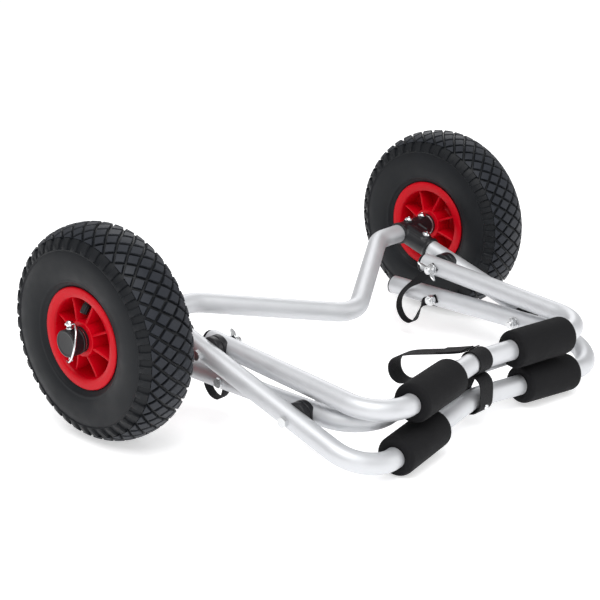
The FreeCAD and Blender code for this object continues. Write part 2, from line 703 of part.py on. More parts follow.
def wheel(side_name, side):
    centre = Vector(side * float(cell.wheel_plane), AXLE.y, AXLE.z)
    tyre("tyre_%s" % side_name, centre)
    ring = cell.tyre_ring + cell.tube_skin
    section = cell.tyre_section - cell.tyre_wall - cell.tube_skin - cell.tube_gap
    skin = torus(ring, section, axis_x(centre))
    air = torus(ring, section - cell.tube_skin, axis_x(centre))
    keep(cut(skin, air), "inner_tube_%s" % side_name)
    moulding = rim("rim_body_%s" % side_name)
    moulding.Placement = Placement(centre, rotation_x(180 / float(cell.rib_count)))
    hole = valve(side_name, side, centre)
    keep(cut(moulding, hole), "rim_%s" % side_name)
    bushes = []
    for outward in (-1, 1):
        start = float(cell.hub_half - cell.bush_length) if outward > 0 else -float(cell.hub_half)
        outside = float(cell.hub_half + cell.bush_flange_thick)
        flange_start = float(cell.hub_half) if outward > 0 else -outside
        sleeve = cylinder(cell.hub_bore, cell.bush_length, axis_x(centre, start))
        flange = cylinder(cell.bush_flange, cell.bush_flange_thick, axis_x(centre, flange_start))
        bore = cylinder(cell.axle_radius + cell.axle_slack, cell.bush_length * 3,
                        axis_x(centre, start - float(cell.bush_length)))
        bushes.append(cut(fuse(sleeve, flange), bore))
    keep(group(*bushes), "hub_bushes_%s" % side_name)


for side_name, side in SIDES:
    wheel(side_name, side)


# ---------------------------------------------------------------- fasteners along X
def ring_x(outer, inner, start, end, side, place):
    """A washer or sleeve along X at a pivot, between two distances from the middle."""
    body = rod_x(outer, start, end, side, place.y, place.z)
    hole = rod_x(inner, sized(start) - cell.lap, sized(end) + cell.lap, side, place.y, place.z)
    return cut(body, hole)


def hexagon_x(across, start, end, side, place):
    """A hexagonal prism along X."""
    body = doc.addObject("Part::Prism", "Hexagon")
    start = sized(start)
    end = sized(end)
    body.Polygon = 6
    bind(body, Circumradius=sized(across) / math.sqrt(3), Height=end - start)
    nearest = float(start) if side > 0 else -float(end)
    body.Placement = Placement(Vector(nearest, place.y, place.z), ALONG_X)
    return body


def thrust_washers():
    rings = []
    for _, side in SIDES:
        for start in (cell.arm_end, cell.cap_inner - cell.washer_thick):
            rings.append(ring_x(cell.thrust_washer, cell.axle_radius, start, start + cell.washer_thick,
                                side, AXLE))
    return group(*rings)


def saddle(side, place, frame, half, start, end):
    """A spacer hollowed to sit on a leg tube."""
    block = rod_x(cell.saddle_radius, start, end, side, place.y, place.z)
    leg = leg_cylinder(cell.tube_radius, -cell.lower_reach, cell.lower_reach,
                       side * float(half), frame)
    hole = rod_x(bolt_hole, sized(start) - cell.lap, sized(end) + cell.lap, side,
                 place.y, place.z)
    return cut(block, leg, hole)


SADDLE_MIDDLE = (cell.lower_half + cell.upper_half) / 2
saddle_gap = cell.saddle_gap / 2
for prefix, place, frame in (("cradle", CRADLE_PIVOT, UPPER_FRAME),
                             ("prop", PROP_PIVOT, PROP_FRAME)):
    outer = [saddle(side, place, LOWER_FRAME, cell.lower_half, SADDLE_MIDDLE + saddle_gap,
                    cell.lower_half - cell.saddle_bite) for _, side in SIDES]
    keep(group(*outer), "%s_outer_saddles" % prefix)
    inner = [saddle(side, place, frame, cell.upper_half, cell.upper_half + cell.saddle_bite,
                    SADDLE_MIDDLE - saddle_gap) for _, side in SIDES]
    keep(group(*inner), "%s_inner_saddles" % prefix)


def pivot_bolt(side, place, tail):
    """An M8 bolt along X, its head outside the lower frame's leg."""
    outside = cell.lower_half + cell.tube_radius
    shank = rod_x(cell.bolt_radius, tail, outside + cell.lap, side, place.y, place.z)
    head = hexagon_x(cell.nut_across, outside, outside + cell.bolt_head, side, place)
    return fuse(shank, head)


inner_face = cell.upper_half - cell.tube_radius - cell.face_gap
keep(group(*[pivot_bolt(side, CRADLE_PIVOT, cell.cradle_bolt_tail) for _, side in SIDES]),
     "cradle_bolts")
keep(group(*[pivot_bolt(side, PROP_PIVOT, cell.prop_bolt_tail) for _, side in SIDES]),
     "prop_bolts")
keep(group(*[ring_x(cell.washer_radius, cell.bolt_radius, face - cell.washer_thick, face,
                    side, place)
             for place, face in ((CRADLE_PIVOT, inner_face - cell.strap_thick),
                                 (PROP_PIVOT, inner_face))
             for _, side in SIDES]), "pivot_washers")
keep(thrust_washers(), "thrust_washers")


def lock_nut(side, place, start):
    """A hexagonal nut with its collar towards the middle, from start inwards."""
    nut = hexagon_x(cell.nut_across, start - cell.nut_thick, start, side, place)
    collar_end = start - cell.nut_thick - cell.nut_collar
    collar = rod_x(cell.bolt_radius + cell.nut_collar_wall, collar_end, start - cell.nut_thick,
                   side, place.y, place.z)
    bore = rod_x(cell.bolt_radius, collar_end - cell.lap, start + cell.lap, side,
                 place.y, place.z)
    return cut(fuse(nut, collar), bore)


keep(group(*[lock_nut(side, PROP_PIVOT, inner_face - cell.washer_thick) for _, side in SIDES]),
     "prop_lock_nuts")


def wing_nut(side_name, side):
    """A wing nut on the cradle bolt's inner end."""
    start = inner_face - cell.strap_thick - cell.washer_thick - cell.face_gap
    place = CRADLE_PIVOT
    hub = rod_x(cell.bolt_radius + cell.wing_hub_wall, start - cell.wing_hub, start, side,
                place.y, place.z)
    wings = []
    for turn in (float(cell.wing_angle), float(cell.wing_angle) + 180):
        inner_edge = start - cell.wing_hub - cell.wing_lead
        nearest = float(inner_edge) if side > 0 else -float(start - cell.lap)
        local = Placement(Vector(0, float(cell.bolt_radius + cell.wing_root),
                                 -float(cell.wing_thick) / 2), Rotation())
        frame = Placement(Vector(nearest, place.y, place.z), rotation_x(turn))
        wings.append(box(cell.wing_hub + cell.wing_lead - cell.lap, cell.wing_reach, cell.wing_thick,
                         frame.multiply(local)))
    bore = rod_x(bolt_hole, start - cell.wing_hub * 2, start + cell.lap, side, place.y, place.z)
    keep(cut(fuse(hub, *wings), bore), "wing_nut_%s" % side_name)


for side_name, side in SIDES:
    wing_nut(side_name, side)


# ---------------------------------------------------------------- tube end caps
def end_cap(frame, half, tail, side):
    """A plug and a flange in the free end of a leg."""
    x = side * float(half)
    plug = leg_cylinder(cell.tube_radius - cell.tube_wall, -tail, -tail + cell.plug_length, x,
                        frame)
    flange = leg_cylinder(cell.tube_radius + cell.flange_lip, -tail - cell.flange_length, -tail,
                          x, frame)
    return fuse(plug, flange)


keep(group(*[end_cap(UPPER_FRAME, cell.upper_half, cell.upper_tail, side) for _, side in SIDES]),
     "upper_end_caps")
keep(group(*[end_cap(PROP_FRAME, cell.prop_half, cell.prop_tail, side) for _, side in SIDES]),
     "prop_foot_caps")


# ---------------------------------------------------------------- limiter bolts and straps
LIMITER = PROP_FRAME.multVec(Vector(0, float(cell.limiter_hole), 0))
strap_face = cell.prop_half - cell.tube_radius - cell.face_gap


def limiter_bolt(side):
    outside = cell.prop_half + cell.tube_radius
    shank = rod_x(cell.bolt_radius, strap_face - cell.limiter_tail, outside + cell.lap, side,
                  LIMITER.y, LIMITER.z)
    head = hexagon_x(cell.nut_across, outside, outside + cell.limiter_head, side, LIMITER)
    return fuse(shank, head)


keep(group(*[limiter_bolt(side) for _, side in SIDES]), "limiter_bolts")
keep(group(*[lock_nut(side, LIMITER, strap_face - cell.strap_thick) for _, side in SIDES]),
     "limiter_nuts")


# ---------------------------------------------------------------- webbing
def webbing(points, middle_x, width):
    """A flat strap lying along X, run by run between points given as (y, z)."""
    plates = []
    for (y0, z0), (y1, z1) in zip(points, points[1:]):
        run = Vector(0, y1 - y0, z1 - z0)
        across = Vector(1, 0, 0)
        turn = Rotation(run, across, run.cross(across), "XYZ")
        corner = Placement(Vector(middle_x, y0, z0), turn).multVec(
            Vector(0, -float(width) / 2, -float(cell.strap_thick) / 2))
        plates.append(box(run.Length, width, cell.strap_thick, Placement(corner, turn)))
    return fuse(*plates)


def strap_tab(side, place, toward):
    """The flat end of a limiter strap, held by a bolt against the inside of a leg."""
    face = float(inner_face)
    disc = rod_x(cell.limiter_width / 2 + cell.tab_margin, inner_face - cell.strap_thick,
                 inner_face, side, place.y, place.z)
    run = toward - place
    turn = Rotation(run, Vector(1, 0, 0), run.cross(Vector(1, 0, 0)), "XYZ")
    nearest = face - float(cell.strap_thick) if side > 0 else -face
    origin = Placement(Vector(nearest, place.y, place.z), turn)
    corner = origin.multVec(Vector(0, 0, -float(cell.limiter_width) / 2))
    tail = box(run.Length, cell.strap_thick, cell.limiter_width, Placement(corner, turn))
    hole = rod_x(cell.bolt_radius, inner_face - cell.strap_thick * 2, inner_face + cell.lap, side,
                 place.y, place.z)
    return cut(fuse(disc, tail), hole)


SPREADER_UPPER = [(-67, 44.5), (-68.5, 52), (-81, 61.5), (-97, 67.5), (-130, 77), (-160, 85.5),
                  (-176.5, 90), (-186.4, 95.5), (-198.2, 95.5), (-206.6, 87.1), (-206.6, 75.3),
                  (-198.2, 66.9), (-186.4, 66.9), (-178, 75.3), (-178, 87.1), (-186.4, 95.5)]
SPREADER_LOWER = [(-67, 42.5), (-71, 31), (-84, 26.8), (-107, 35), (-160, 40.4), (-175, 36),
                  (-175, 24), (-182.5, 16.8), (-197.5, 16.8), (-207.6, 27), (-208, 56),
                  (-200, 64.2), (-189, 64.2), (-181.5, 58), (-181, 46), (-175, 38)]
LIMITER_LOWER = [(36, 54), (40, 44), (44, 33), (50, 24), (54.5, 21)]
LIMITER_UPPER = [(57.5, 21), (66, 23.5), (73, 30), (77, 40), (76, 51), (70, 62), (61, 71.5),
                 (51, 79)]
LOOP_X = float(inner_face - cell.limiter_width / 2)

keep(webbing(SPREADER_UPPER, 0, cell.strap_width), "spreader_strap_upper")
keep(webbing(SPREADER_LOWER, 0, cell.strap_width), "spreader_strap_lower")
for side_name, side in SIDES:
    for prefix, place, points in (("limiter_strap_lower", LIMITER, LIMITER_LOWER),
                                  ("limiter_strap_upper", CRADLE_PIVOT, LIMITER_UPPER)):
        join = points[0] if prefix.endswith("lower") else points[-1]
        tab = strap_tab(side, place, Vector(place.x, join[0], join[1]))
        loop = webbing(points, side * LOOP_X, cell.limiter_width)
        keep(fuse(tab, loop), "%s_%s" % (prefix, side_name))


# ---------------------------------------------------------------- check and export
def check_document():
    """Stop if any object failed or any sub-part is not a sound solid."""
    doc.recompute()
    failed = [item.Name for item in doc.Objects
              if "Invalid" in item.State or "Error" in item.State]
    if failed:
        raise RuntimeError("failed objects: %s" % failed)
    for part in subparts:
        if part.Shape.isNull() or not part.Shape.isValid():
            raise RuntimeError("unsound shape: %s" % part.Label)


check_document()
os.makedirs("parts", exist_ok=True)
for part in subparts:
    part.Shape.exportStep(os.path.join("parts", part.Label + ".step"))
print(len(subparts), "sub-parts written")
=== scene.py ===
"""Looks of the folding boat trolley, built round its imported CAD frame.  Metres."""
import json
import math

import bmesh
import bpy
from mathutils import Matrix, Vector


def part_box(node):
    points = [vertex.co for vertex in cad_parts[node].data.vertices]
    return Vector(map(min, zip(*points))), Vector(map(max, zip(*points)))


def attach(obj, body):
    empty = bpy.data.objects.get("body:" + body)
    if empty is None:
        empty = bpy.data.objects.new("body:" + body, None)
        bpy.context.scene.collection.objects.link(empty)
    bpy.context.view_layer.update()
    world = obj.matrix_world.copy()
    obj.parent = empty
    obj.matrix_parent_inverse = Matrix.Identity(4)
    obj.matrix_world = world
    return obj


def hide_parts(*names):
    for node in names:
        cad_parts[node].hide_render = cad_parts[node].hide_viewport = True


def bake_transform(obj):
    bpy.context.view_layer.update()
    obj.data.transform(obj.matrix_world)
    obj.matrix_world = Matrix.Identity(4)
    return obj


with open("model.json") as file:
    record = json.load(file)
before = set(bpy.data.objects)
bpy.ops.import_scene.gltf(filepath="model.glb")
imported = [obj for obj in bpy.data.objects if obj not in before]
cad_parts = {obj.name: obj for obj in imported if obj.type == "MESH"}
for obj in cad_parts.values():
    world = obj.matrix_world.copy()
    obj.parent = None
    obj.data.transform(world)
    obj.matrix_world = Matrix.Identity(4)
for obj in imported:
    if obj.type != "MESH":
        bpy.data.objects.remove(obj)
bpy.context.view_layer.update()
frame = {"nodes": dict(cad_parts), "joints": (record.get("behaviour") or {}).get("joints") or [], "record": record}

MM = 0.001
SIDES = (("left", -1), ("right", 1))
JOINTS = {joint["name"]: joint for joint in frame["joints"]}
X_AXIS = Vector((1, 0, 0))
Z_AXIS = Vector((0, 0, 1))


def joint_place(name):
    return Vector(JOINTS[name]["pos_m"])


def box_of(node):
    low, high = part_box(node)
    return Vector(low), Vector(high)


CRADLE_PIVOT = joint_place("cradle_swing")
PROP_PIVOT = joint_place("prop_swing")
WHEEL = {side: joint_place("wheel_spin_" + side) for side, _ in SIDES}
AXLE = Vector((0, WHEEL["left"].y, WHEEL["left"].z))
LEG_DIRECTION = (CRADLE_PIVOT - AXLE).normalized()      # lower legs, from the axle forwards
LEG_UP = X_AXIS.cross(-LEG_DIRECTION).normalized()


# ------------------------------------------------------------------ materials
def shader(name, **inputs):
    """A material with a Principled shader and its plain inputs set."""
    material = bpy.data.materials.new(name)
    material.use_nodes = True
    surface = material.node_tree.nodes["Principled BSDF"]
    for key, value in inputs.items():
        surface.inputs[key.replace("_", " ")].default_value = value
    return material, material.node_tree.nodes, material.node_tree.links, surface


def add(nodes, kind, **settings):
    """A node with its properties and inputs set."""
    node = nodes.new(kind)
    for key, value in settings.items():
        if hasattr(node, key):
            setattr(node, key, value)
        else:
            node.inputs[key.replace("_", " ")].default_value = value
    return node


def texture_space(nodes, links, scale=(1, 1, 1), source="Object"):
    """Texture coordinates in metres, stretched by scale."""
    coordinates = add(nodes, "ShaderNodeTexCoord")
    mapping = add(nodes, "ShaderNodeMapping", Scale=scale)
    links.new(coordinates.outputs[source], mapping.inputs["Vector"])
    return mapping.outputs["Vector"]


def noise(nodes, links, vector, scale, detail=3.0, roughness=0.5):
    node = add(nodes, "ShaderNodeTexNoise", Scale=scale, Detail=detail, Roughness=roughness)
    links.new(vector, node.inputs["Vector"])
    return node.outputs["Fac"]


def ramp(nodes, links, value, low, high, dark, light):
    """Map a value's span from low to high onto a span between two numbers."""
    node = add(nodes, "ShaderNodeMapRange")
    for key, number in (("From Min", low), ("From Max", high), ("To Min", dark), ("To Max", light)):
        node.inputs[key].default_value = number
    links.new(value, node.inputs["Value"])
    return node.outputs["Result"]


def tint(nodes, links, value, first, second):
    """A colour between two, by a value."""
    node = add(nodes, "ShaderNodeMix", data_type="RGBA")
    node.inputs[6].default_value = (*first, 1)
    node.inputs[7].default_value = (*second, 1)
    links.new(value, node.inputs[0])
    return node.outputs[2]


def bump(nodes, links, surface, heights):
    """Chain bumps onto the shader: (height output, distance in metres, strength)."""
    previous = None
    for height, distance, strength in heights:
        node = add(nodes, "ShaderNodeBump", Strength=strength, Distance=distance)
        links.new(height, node.inputs["Height"])
        if previous is not None:
            links.new(previous, node.inputs["Normal"])
        previous = node.outputs["Normal"]
    links.new(previous, surface.inputs["Normal"])


def aluminium():
    material, nodes, links, surface = shader("aluminium_tube", Metallic=0.62, Roughness=0.5)
    vector = texture_space(nodes, links)
    cloud = noise(nodes, links, vector, 60, 4)
    grain = noise(nodes, links, vector, 2600, 2)
    links.new(tint(nodes, links, cloud, (0.58, 0.59, 0.61), (0.65, 0.66, 0.68)),
              surface.inputs["Base Color"])
    links.new(ramp(nodes, links, cloud, 0.3, 0.7, 0.46, 0.54), surface.inputs["Roughness"])
    bump(nodes, links, surface, [(grain, 0.00002, 0.25), (cloud, 0.0002, 0.08)])
    return material


def tyre_rubber():
    material, nodes, links, surface = shader("tyre_rubber", Roughness=0.55)
    surface.inputs["Specular IOR Level"].default_value = 0.22
    vector = texture_space(nodes, links)
    cloud = noise(nodes, links, vector, 35, 5, 0.6)
    grain = noise(nodes, links, vector, 1800, 3)
    # Painted sheen: the tops of the tread blocks get a lighter, bluer rubber colour (the second pair below) that
    # stands in for the light they catch, while the grooves and side walls keep the darker pair
    painted_top_sheen = add(nodes, "ShaderNodeAttribute", attribute_name="painted_top_sheen")
    colour = add(nodes, "ShaderNodeMix", data_type="RGBA")
    links.new(painted_top_sheen.outputs["Fac"], colour.inputs[0])
    links.new(tint(nodes, links, cloud, (0.0035, 0.0042, 0.0055), (0.009, 0.0105, 0.013)),
              colour.inputs[6])
    links.new(tint(nodes, links, cloud, (0.013, 0.015, 0.020), (0.023, 0.026, 0.033)),
              colour.inputs[7])
    links.new(colour.outputs[2], surface.inputs["Base Color"])
    links.new(ramp(nodes, links, cloud, 0.3, 0.7, 0.40, 0.60), surface.inputs["Roughness"])
    bump(nodes, links, surface, [(grain, 0.00008, 0.35), (cloud, 0.0004, 0.12)])
    return material


def moulded(name, first, second, roughness, grain_size=1500, coat=0.0, shine=0.4):
    """A moulded plastic: slight colour drift, orange peel and fine grain."""
    material, nodes, links, surface = shader(name, Roughness=roughness)
    surface.inputs["Coat Weight"].default_value = coat
    surface.inputs["Specular IOR Level"].default_value = shine
    surface.inputs["Coat Roughness"].default_value = 0.12
    vector = texture_space(nodes, links)
    cloud = noise(nodes, links, vector, 40, 4)
    peel = noise(nodes, links, vector, 260, 2)
    grain = noise(nodes, links, vector, grain_size, 2)
    links.new(tint(nodes, links, cloud, first, second), surface.inputs["Base Color"])
    links.new(ramp(nodes, links, cloud, 0.3, 0.7, roughness - 0.05, roughness + 0.07),
              surface.inputs["Roughness"])
    bump(nodes, links, surface, [(grain, 0.00004, 0.25), (peel, 0.0003, 0.10)])
    return material


def foam():
    material, nodes, links, surface = shader("pad_foam", Roughness=0.82)
    surface.inputs["Specular IOR Level"].default_value = 0.16
    vector = texture_space(nodes, links)
    cells = add(nodes, "ShaderNodeTexVoronoi", Scale=1500)
    links.new(vector, cells.inputs["Vector"])
    cloud = noise(nodes, links, vector, 45, 5, 0.6)
    lumps = noise(nodes, links, vector, 420, 3)
    links.new(tint(nodes, links, cloud, (0.005, 0.005, 0.006), (0.011, 0.011, 0.012)),
              surface.inputs["Base Color"])
    links.new(ramp(nodes, links, cloud, 0.3, 0.7, 0.74, 0.9), surface.inputs["Roughness"])
    bump(nodes, links, surface, [(cells.outputs["Distance"], 0.0002, 0.5), (lumps, 0.0004, 0.3),
                                 (cloud, 0.0008, 0.2)])
    return material


def webbing():
    """Woven nylon: ribs across the strap from its UVs, in metres along and across."""
    material, nodes, links, surface = shader("strap_webbing", Roughness=0.62)
    surface.inputs["Specular IOR Level"].default_value = 0.2
    vector = texture_space(nodes, links, source="UV")
    warp = add(nodes, "ShaderNodeTexWave", Scale=330, bands_direction="Y", Distortion=0.4)
    weft = add(nodes, "ShaderNodeTexWave", Scale=420, bands_direction="X", Distortion=0.6)
    for wave in (warp, weft):
        wave.inputs["Detail"].default_value = 1
        links.new(vector, wave.inputs["Vector"])
    weave = add(nodes, "ShaderNodeMath", operation="MULTIPLY")
    links.new(warp.outputs["Fac"], weave.inputs[0])
    links.new(weft.outputs["Fac"], weave.inputs[1])
    fuzz = noise(nodes, links, vector, 900, 3)
    links.new(tint(nodes, links, weave.outputs[0], (0.004, 0.004, 0.005), (0.016, 0.016, 0.018)),
              surface.inputs["Base Color"])
    links.new(ramp(nodes, links, fuzz, 0.3, 0.7, 0.55, 0.75), surface.inputs["Roughness"])
    bump(nodes, links, surface, [(weave.outputs[0], 0.0004, 0.6), (fuzz, 0.0002, 0.2)])
    return material


def plated(name, colour, roughness):
    """Plated steel: fine scratches and a slightly uneven polish."""
    material, nodes, links, surface = shader(name, Metallic=1.0, Roughness=roughness)
    vector = texture_space(nodes, links)
    cloud = noise(nodes, links, vector, 220, 4)
    streak = noise(nodes, links, texture_space(nodes, links, (60, 900, 900)), 4, 4)
    darker = tuple(0.82 * channel for channel in colour)
    links.new(tint(nodes, links, cloud, darker, colour), surface.inputs["Base Color"])
    links.new(ramp(nodes, links, streak, 0.3, 0.7, roughness - 0.06, roughness + 0.1),
              surface.inputs["Roughness"])
    bump(nodes, links, surface, [(streak, 0.00004, 0.2), (cloud, 0.0001, 0.1)])
    return material


MATERIALS = {
    "aluminium_tube": aluminium(),
    "tyre": tyre_rubber(),
    "butyl": moulded("valve_rubber", (0.010, 0.010, 0.011), (0.02, 0.02, 0.021), 0.5),
    "rim_plastic": moulded("rim_red", (0.48, 0.0, 0.006), (0.56, 0.0005, 0.010), 0.32, 1100, 0.05, 0.12),
    "black_plastic": moulded("black_nylon", (0.006, 0.006, 0.008), (0.012, 0.012, 0.014), 0.36),
    "foam": foam(),
    "webbing": webbing(),
    "zinc": plated("zinc_plate", (0.74, 0.75, 0.76), 0.28),
    "bright_steel": plated("bright_plate", (0.86, 0.87, 0.89), 0.14),
    "axle_steel": moulded("axle_black", (0.012, 0.012, 0.013), (0.02, 0.02, 0.022), 0.38),
}
SLOTS = {part["node"]: part["material_slot"] for part in frame["record"]["subparts"]}
for node_name, node in frame["nodes"].items():
    node.data.materials.clear()
    node.data.materials.append(MATERIALS[SLOTS[node_name]])


# ------------------------------------------------------------------ mesh helpers
def finish_piece(mesh, name, slot, body, nodes=(), smooth_angle=35.0):
    """Turn a bmesh into a piece that rides on a body and stands for CAD nodes."""
    bmesh.ops.recalc_face_normals(mesh, faces=mesh.faces)
    data = bpy.data.meshes.new(name)
    mesh.to_mesh(data)
    mesh.free()
    piece = bpy.data.objects.new(name, data)
    bpy.context.scene.collection.objects.link(piece)
    data.materials.append(MATERIALS[slot])
    data.shade_smooth()
    if smooth_angle < 180:
        data.set_sharp_from_angle(angle=math.radians(smooth_angle))
    if nodes:
        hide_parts(*nodes)
    if body:
        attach(piece, body)
    return piece


def ring_frame(axis, start=None):
    """Two unit vectors square to an axis."""
    axis = axis.normalized()
    first = start if start is not None else (Z_AXIS if abs(axis.z) < 0.9 else X_AXIS)
    first = (first - axis * first.dot(axis)).normalized()
    return first, axis.cross(first)


def revolve(mesh, profile, centre, axis, segments=64, closed=True, start=None):
    """Turn a profile of (distance along the axis, radius) about the axis."""
    first, second = ring_frame(axis, start)
    axis = axis.normalized()
    rings = []
    for step in range(segments):
        angle = 2 * math.pi * step / segments
        spoke = first * math.cos(angle) + second * math.sin(angle)
        rings.append([mesh.verts.new(centre + axis * along + spoke * radius)
                      for along, radius in profile])
    count = len(profile)
    for step in range(segments):
        here, there = rings[step], rings[(step + 1) % segments]
        for spot in range(count if closed else count - 1):
            following = (spot + 1) % count
            mesh.faces.new((here[spot], here[following], there[following], there[spot]))
    return rings


def patch(mesh, grid):
    """Faces over a grid of vertices, given row by row."""
    for here, there in zip(grid, grid[1:]):
        for spot in range(len(here) - 1):
            mesh.faces.new((here[spot], there[spot], there[spot + 1], here[spot + 1]))


def join_rings(mesh, rings, closed=True):
    """Faces between successive rings of vertices."""
    size = len(rings[0])
    for here, there in zip(rings, rings[1:]):
        for spot in range(size if closed else size - 1):
            following = (spot + 1) % size
            mesh.faces.new((here[spot], here[following], there[following], there[spot]))


def capped(mesh, profile, centre, axis, segments=48):
    """Turn an open profile whose ends lie near the axis, closing each end with one face."""
    rings = revolve(mesh, profile, centre, axis, segments, closed=False)
    for end in (0, -1):
        mesh.faces.new([ring[end] for ring in rings])
    return rings


def rounded(profile, radius, steps=4):
    """Round the corners of an open or closed list of (x, y) points.  A point may carry its own radius."""
    result = []
    count = len(profile)
    for index, corner in enumerate(profile):
        own = corner[2] if len(corner) > 2 else radius
        here = Vector(corner[:2])
        before = Vector(profile[index - 1][:2])
        after = Vector(profile[(index + 1) % count][:2])
        to_before = before - here
        to_after = after - here
        if own <= 0 or to_before.length < 1e-9 or to_after.length < 1e-9:
            result.append(tuple(here))
            continue
        reach = min(own, to_before.length * 0.45, to_after.length * 0.45)
        start = here + to_before.normalized() * reach
        end = here + to_after.normalized() * reach
        for step in range(steps + 1):
            part = step / steps
            point = start * (1 - part) ** 2 + here * (2 * part * (1 - part)) + end * part ** 2
            result.append(tuple(point))
    return result


def scaled(points, unit=MM):
    """Points in millimetres as metres, keeping a third value if there is one."""
    return [tuple(value * unit for value in point) for point in points]


def sweep(mesh, path, section, side_hint=X_AXIS, closed=False):
    """Sweep a closed section (list of (sideways, up)) along a path of points.  Returns the rings."""
    rings = []
    count = len(path)
    for index, point in enumerate(path):
        ahead = path[(index + 1) % count] if closed or index + 1 < count else point
        behind = path[index - 1] if closed or index > 0 else point
        tangent = (ahead - behind).normalized()
        hint = side_hint[index] if isinstance(side_hint, list) else side_hint
        sideways = (hint - tangent * hint.dot(tangent)).normalized()
        up = tangent.cross(sideways)
        rings.append([mesh.verts.new(point + sideways * a + up * b) for a, b in section])
    size = len(section)
    for index in range(count if closed else count - 1):
        here, there = rings[index], rings[(index + 1) % count]
        for spot in range(size):
            following = (spot + 1) % size
            mesh.faces.new((here[spot], there[spot], there[following], here[following]))
    if not closed:
        mesh.faces.new(rings[0])
        mesh.faces.new(rings[-1])
    return rings


def circle_section(radius, segments=24):
    return [(radius * math.cos(2 * math.pi * k / segments),
             radius * math.sin(2 * math.pi * k / segments)) for k in range(segments)]


# ------------------------------------------------------------------ tyres
TYRE_RADIUS = (box_of("tyre_left")[1].z - box_of("tyre_left")[0].z) / 2
TYRE_HALF_WIDTH = (box_of("tyre_left")[1].x - box_of("tyre_left")[0].x) / 2
BLOCK_HEIGHT = 3.2 * MM
RING_RADIUS = TYRE_RADIUS - TYRE_HALF_WIDTH                 # centre of the round section
BASE_HEIGHT = TYRE_HALF_WIDTH - BLOCK_HEIGHT
BLOCKS_ROUND = 42
BLOCK_PITCH = 2 * math.pi * TYRE_RADIUS / BLOCKS_ROUND      # one diamond, corner to corner
GROOVE = 3.2 * MM
LUG_HALF = 4.9 * MM
LUG_END = math.radians(68)                                  # tilt where a lug ends
TREAD_ROWS = 3
SQUARENESS = 0.88


def tyre_point(turn, tilt, height):
    """Place on the tyre in its own frame: turn round the axle, tilt from the crown, height."""
    sine, cosine = math.sin(tilt), math.cos(tilt)
    across = math.copysign(abs(sine) ** SQUARENESS, sine) * (TYRE_HALF_WIDTH - 0.8 * MM)
    radius = RING_RADIUS + math.copysign(abs(cosine) ** SQUARENESS, cosine) * BASE_HEIGHT
    across += height * sine
    radius += height * cosine
    return Vector((across, radius * math.cos(turn), radius * math.sin(turn)))


def diamond_block(mesh, painted_top_sheen, around, across, trim=0):
    """One raised tread block; trim is +1 or -1 where only the half towards the middle stays."""
    lines = [(-1.1, -0.5), (-0.98, 0.55), (-0.84, 1.0), (0, 1.0), (0.84, 1.0), (0.98, 0.55),
             (1.1, -0.5)]
    half = (BLOCK_PITCH - GROOVE) / 4
    grid = []
    for u, height_u in lines:
        row = []
        for v, height_v in lines:
            s_place = around + (u + v) * half
            w_place = across + (u - v) * half
            height = min(height_u, height_v) * BLOCK_HEIGHT
            if trim and (w_place - across) * trim > 0:
                w_place = across + trim * 0.5 * MM * min(1, abs(u - v))
            turn = s_place / TYRE_RADIUS
            tilt = w_place / BASE_HEIGHT
            vertex = mesh.verts.new(tyre_point(turn, tilt, height))
            # Painted sheen mask: 1 on the block tops, falling to 0 down their sides, so the tops' colour is
            # painted lighter as if lit
            vertex[painted_top_sheen] = max(0.0, min(height_u, height_v)) ** 3
            row.append(vertex)
        grid.append(row)
    patch(mesh, grid)


def shoulder_lug(mesh, around, side, inner, outer, half):
    """One raised bar across the shoulder, tapering into the side wall."""
    across_lines = [(-1.12, -0.4), (-0.95, 0.55), (-0.75, 1.0), (0.75, 1.0), (0.95, 0.55),
                    (1.12, -0.4)]
    along_lines = [(0.0, -0.4), (0.05, 0.7), (0.12, 1.0), (0.5, 0.92), (0.8, 0.75), (0.95, 0.45),
                   (1.0, -0.3)]
    grid = []
    for share, height_a in along_lines:
        tilt = side * (inner + (outer - inner) * share)
        row = []
        for v, height_b in across_lines:
            turn = (around + v * half) / TYRE_RADIUS
            row.append(mesh.verts.new(tyre_point(turn, tilt, min(height_a, height_b) * BLOCK_HEIGHT)))
        grid.append(row)
    patch(mesh, grid)


def tyre_carcass(mesh):
    """The rubber body: crown, side walls with their moulded rings, and beads inside the rim."""
    outline = []
    neck = math.radians(131)
    steps = 150
    for step in range(steps + 1):
        tilt = -neck + 2 * neck * step / steps
        height = 0.0
        for ring_tilt, width, rise in ((66.5, 1.5, 1.5), (118, 3.2, 0.8)):
            distance = abs(abs(math.degrees(tilt)) - ring_tilt)
            height += rise * MM * max(0.0, 1 - (distance / width) ** 2) if distance < width else 0
        point = tyre_point(0, tilt, height)
        outline.append((point.x, point.y))
    bead = scaled([(31.2, 59), (31.2, 52), (30, 51), (25, 51), (24, 53), (24.5, 62), (27, 68)])
    left = [(-x, radius) for x, radius in bead]
    outline = left[::-1] + outline + bead
    revolve(mesh, outline, Vector((0, 0, 0)), X_AXIS, segments=168, closed=True,
            start=Vector((0, 1, 0)))


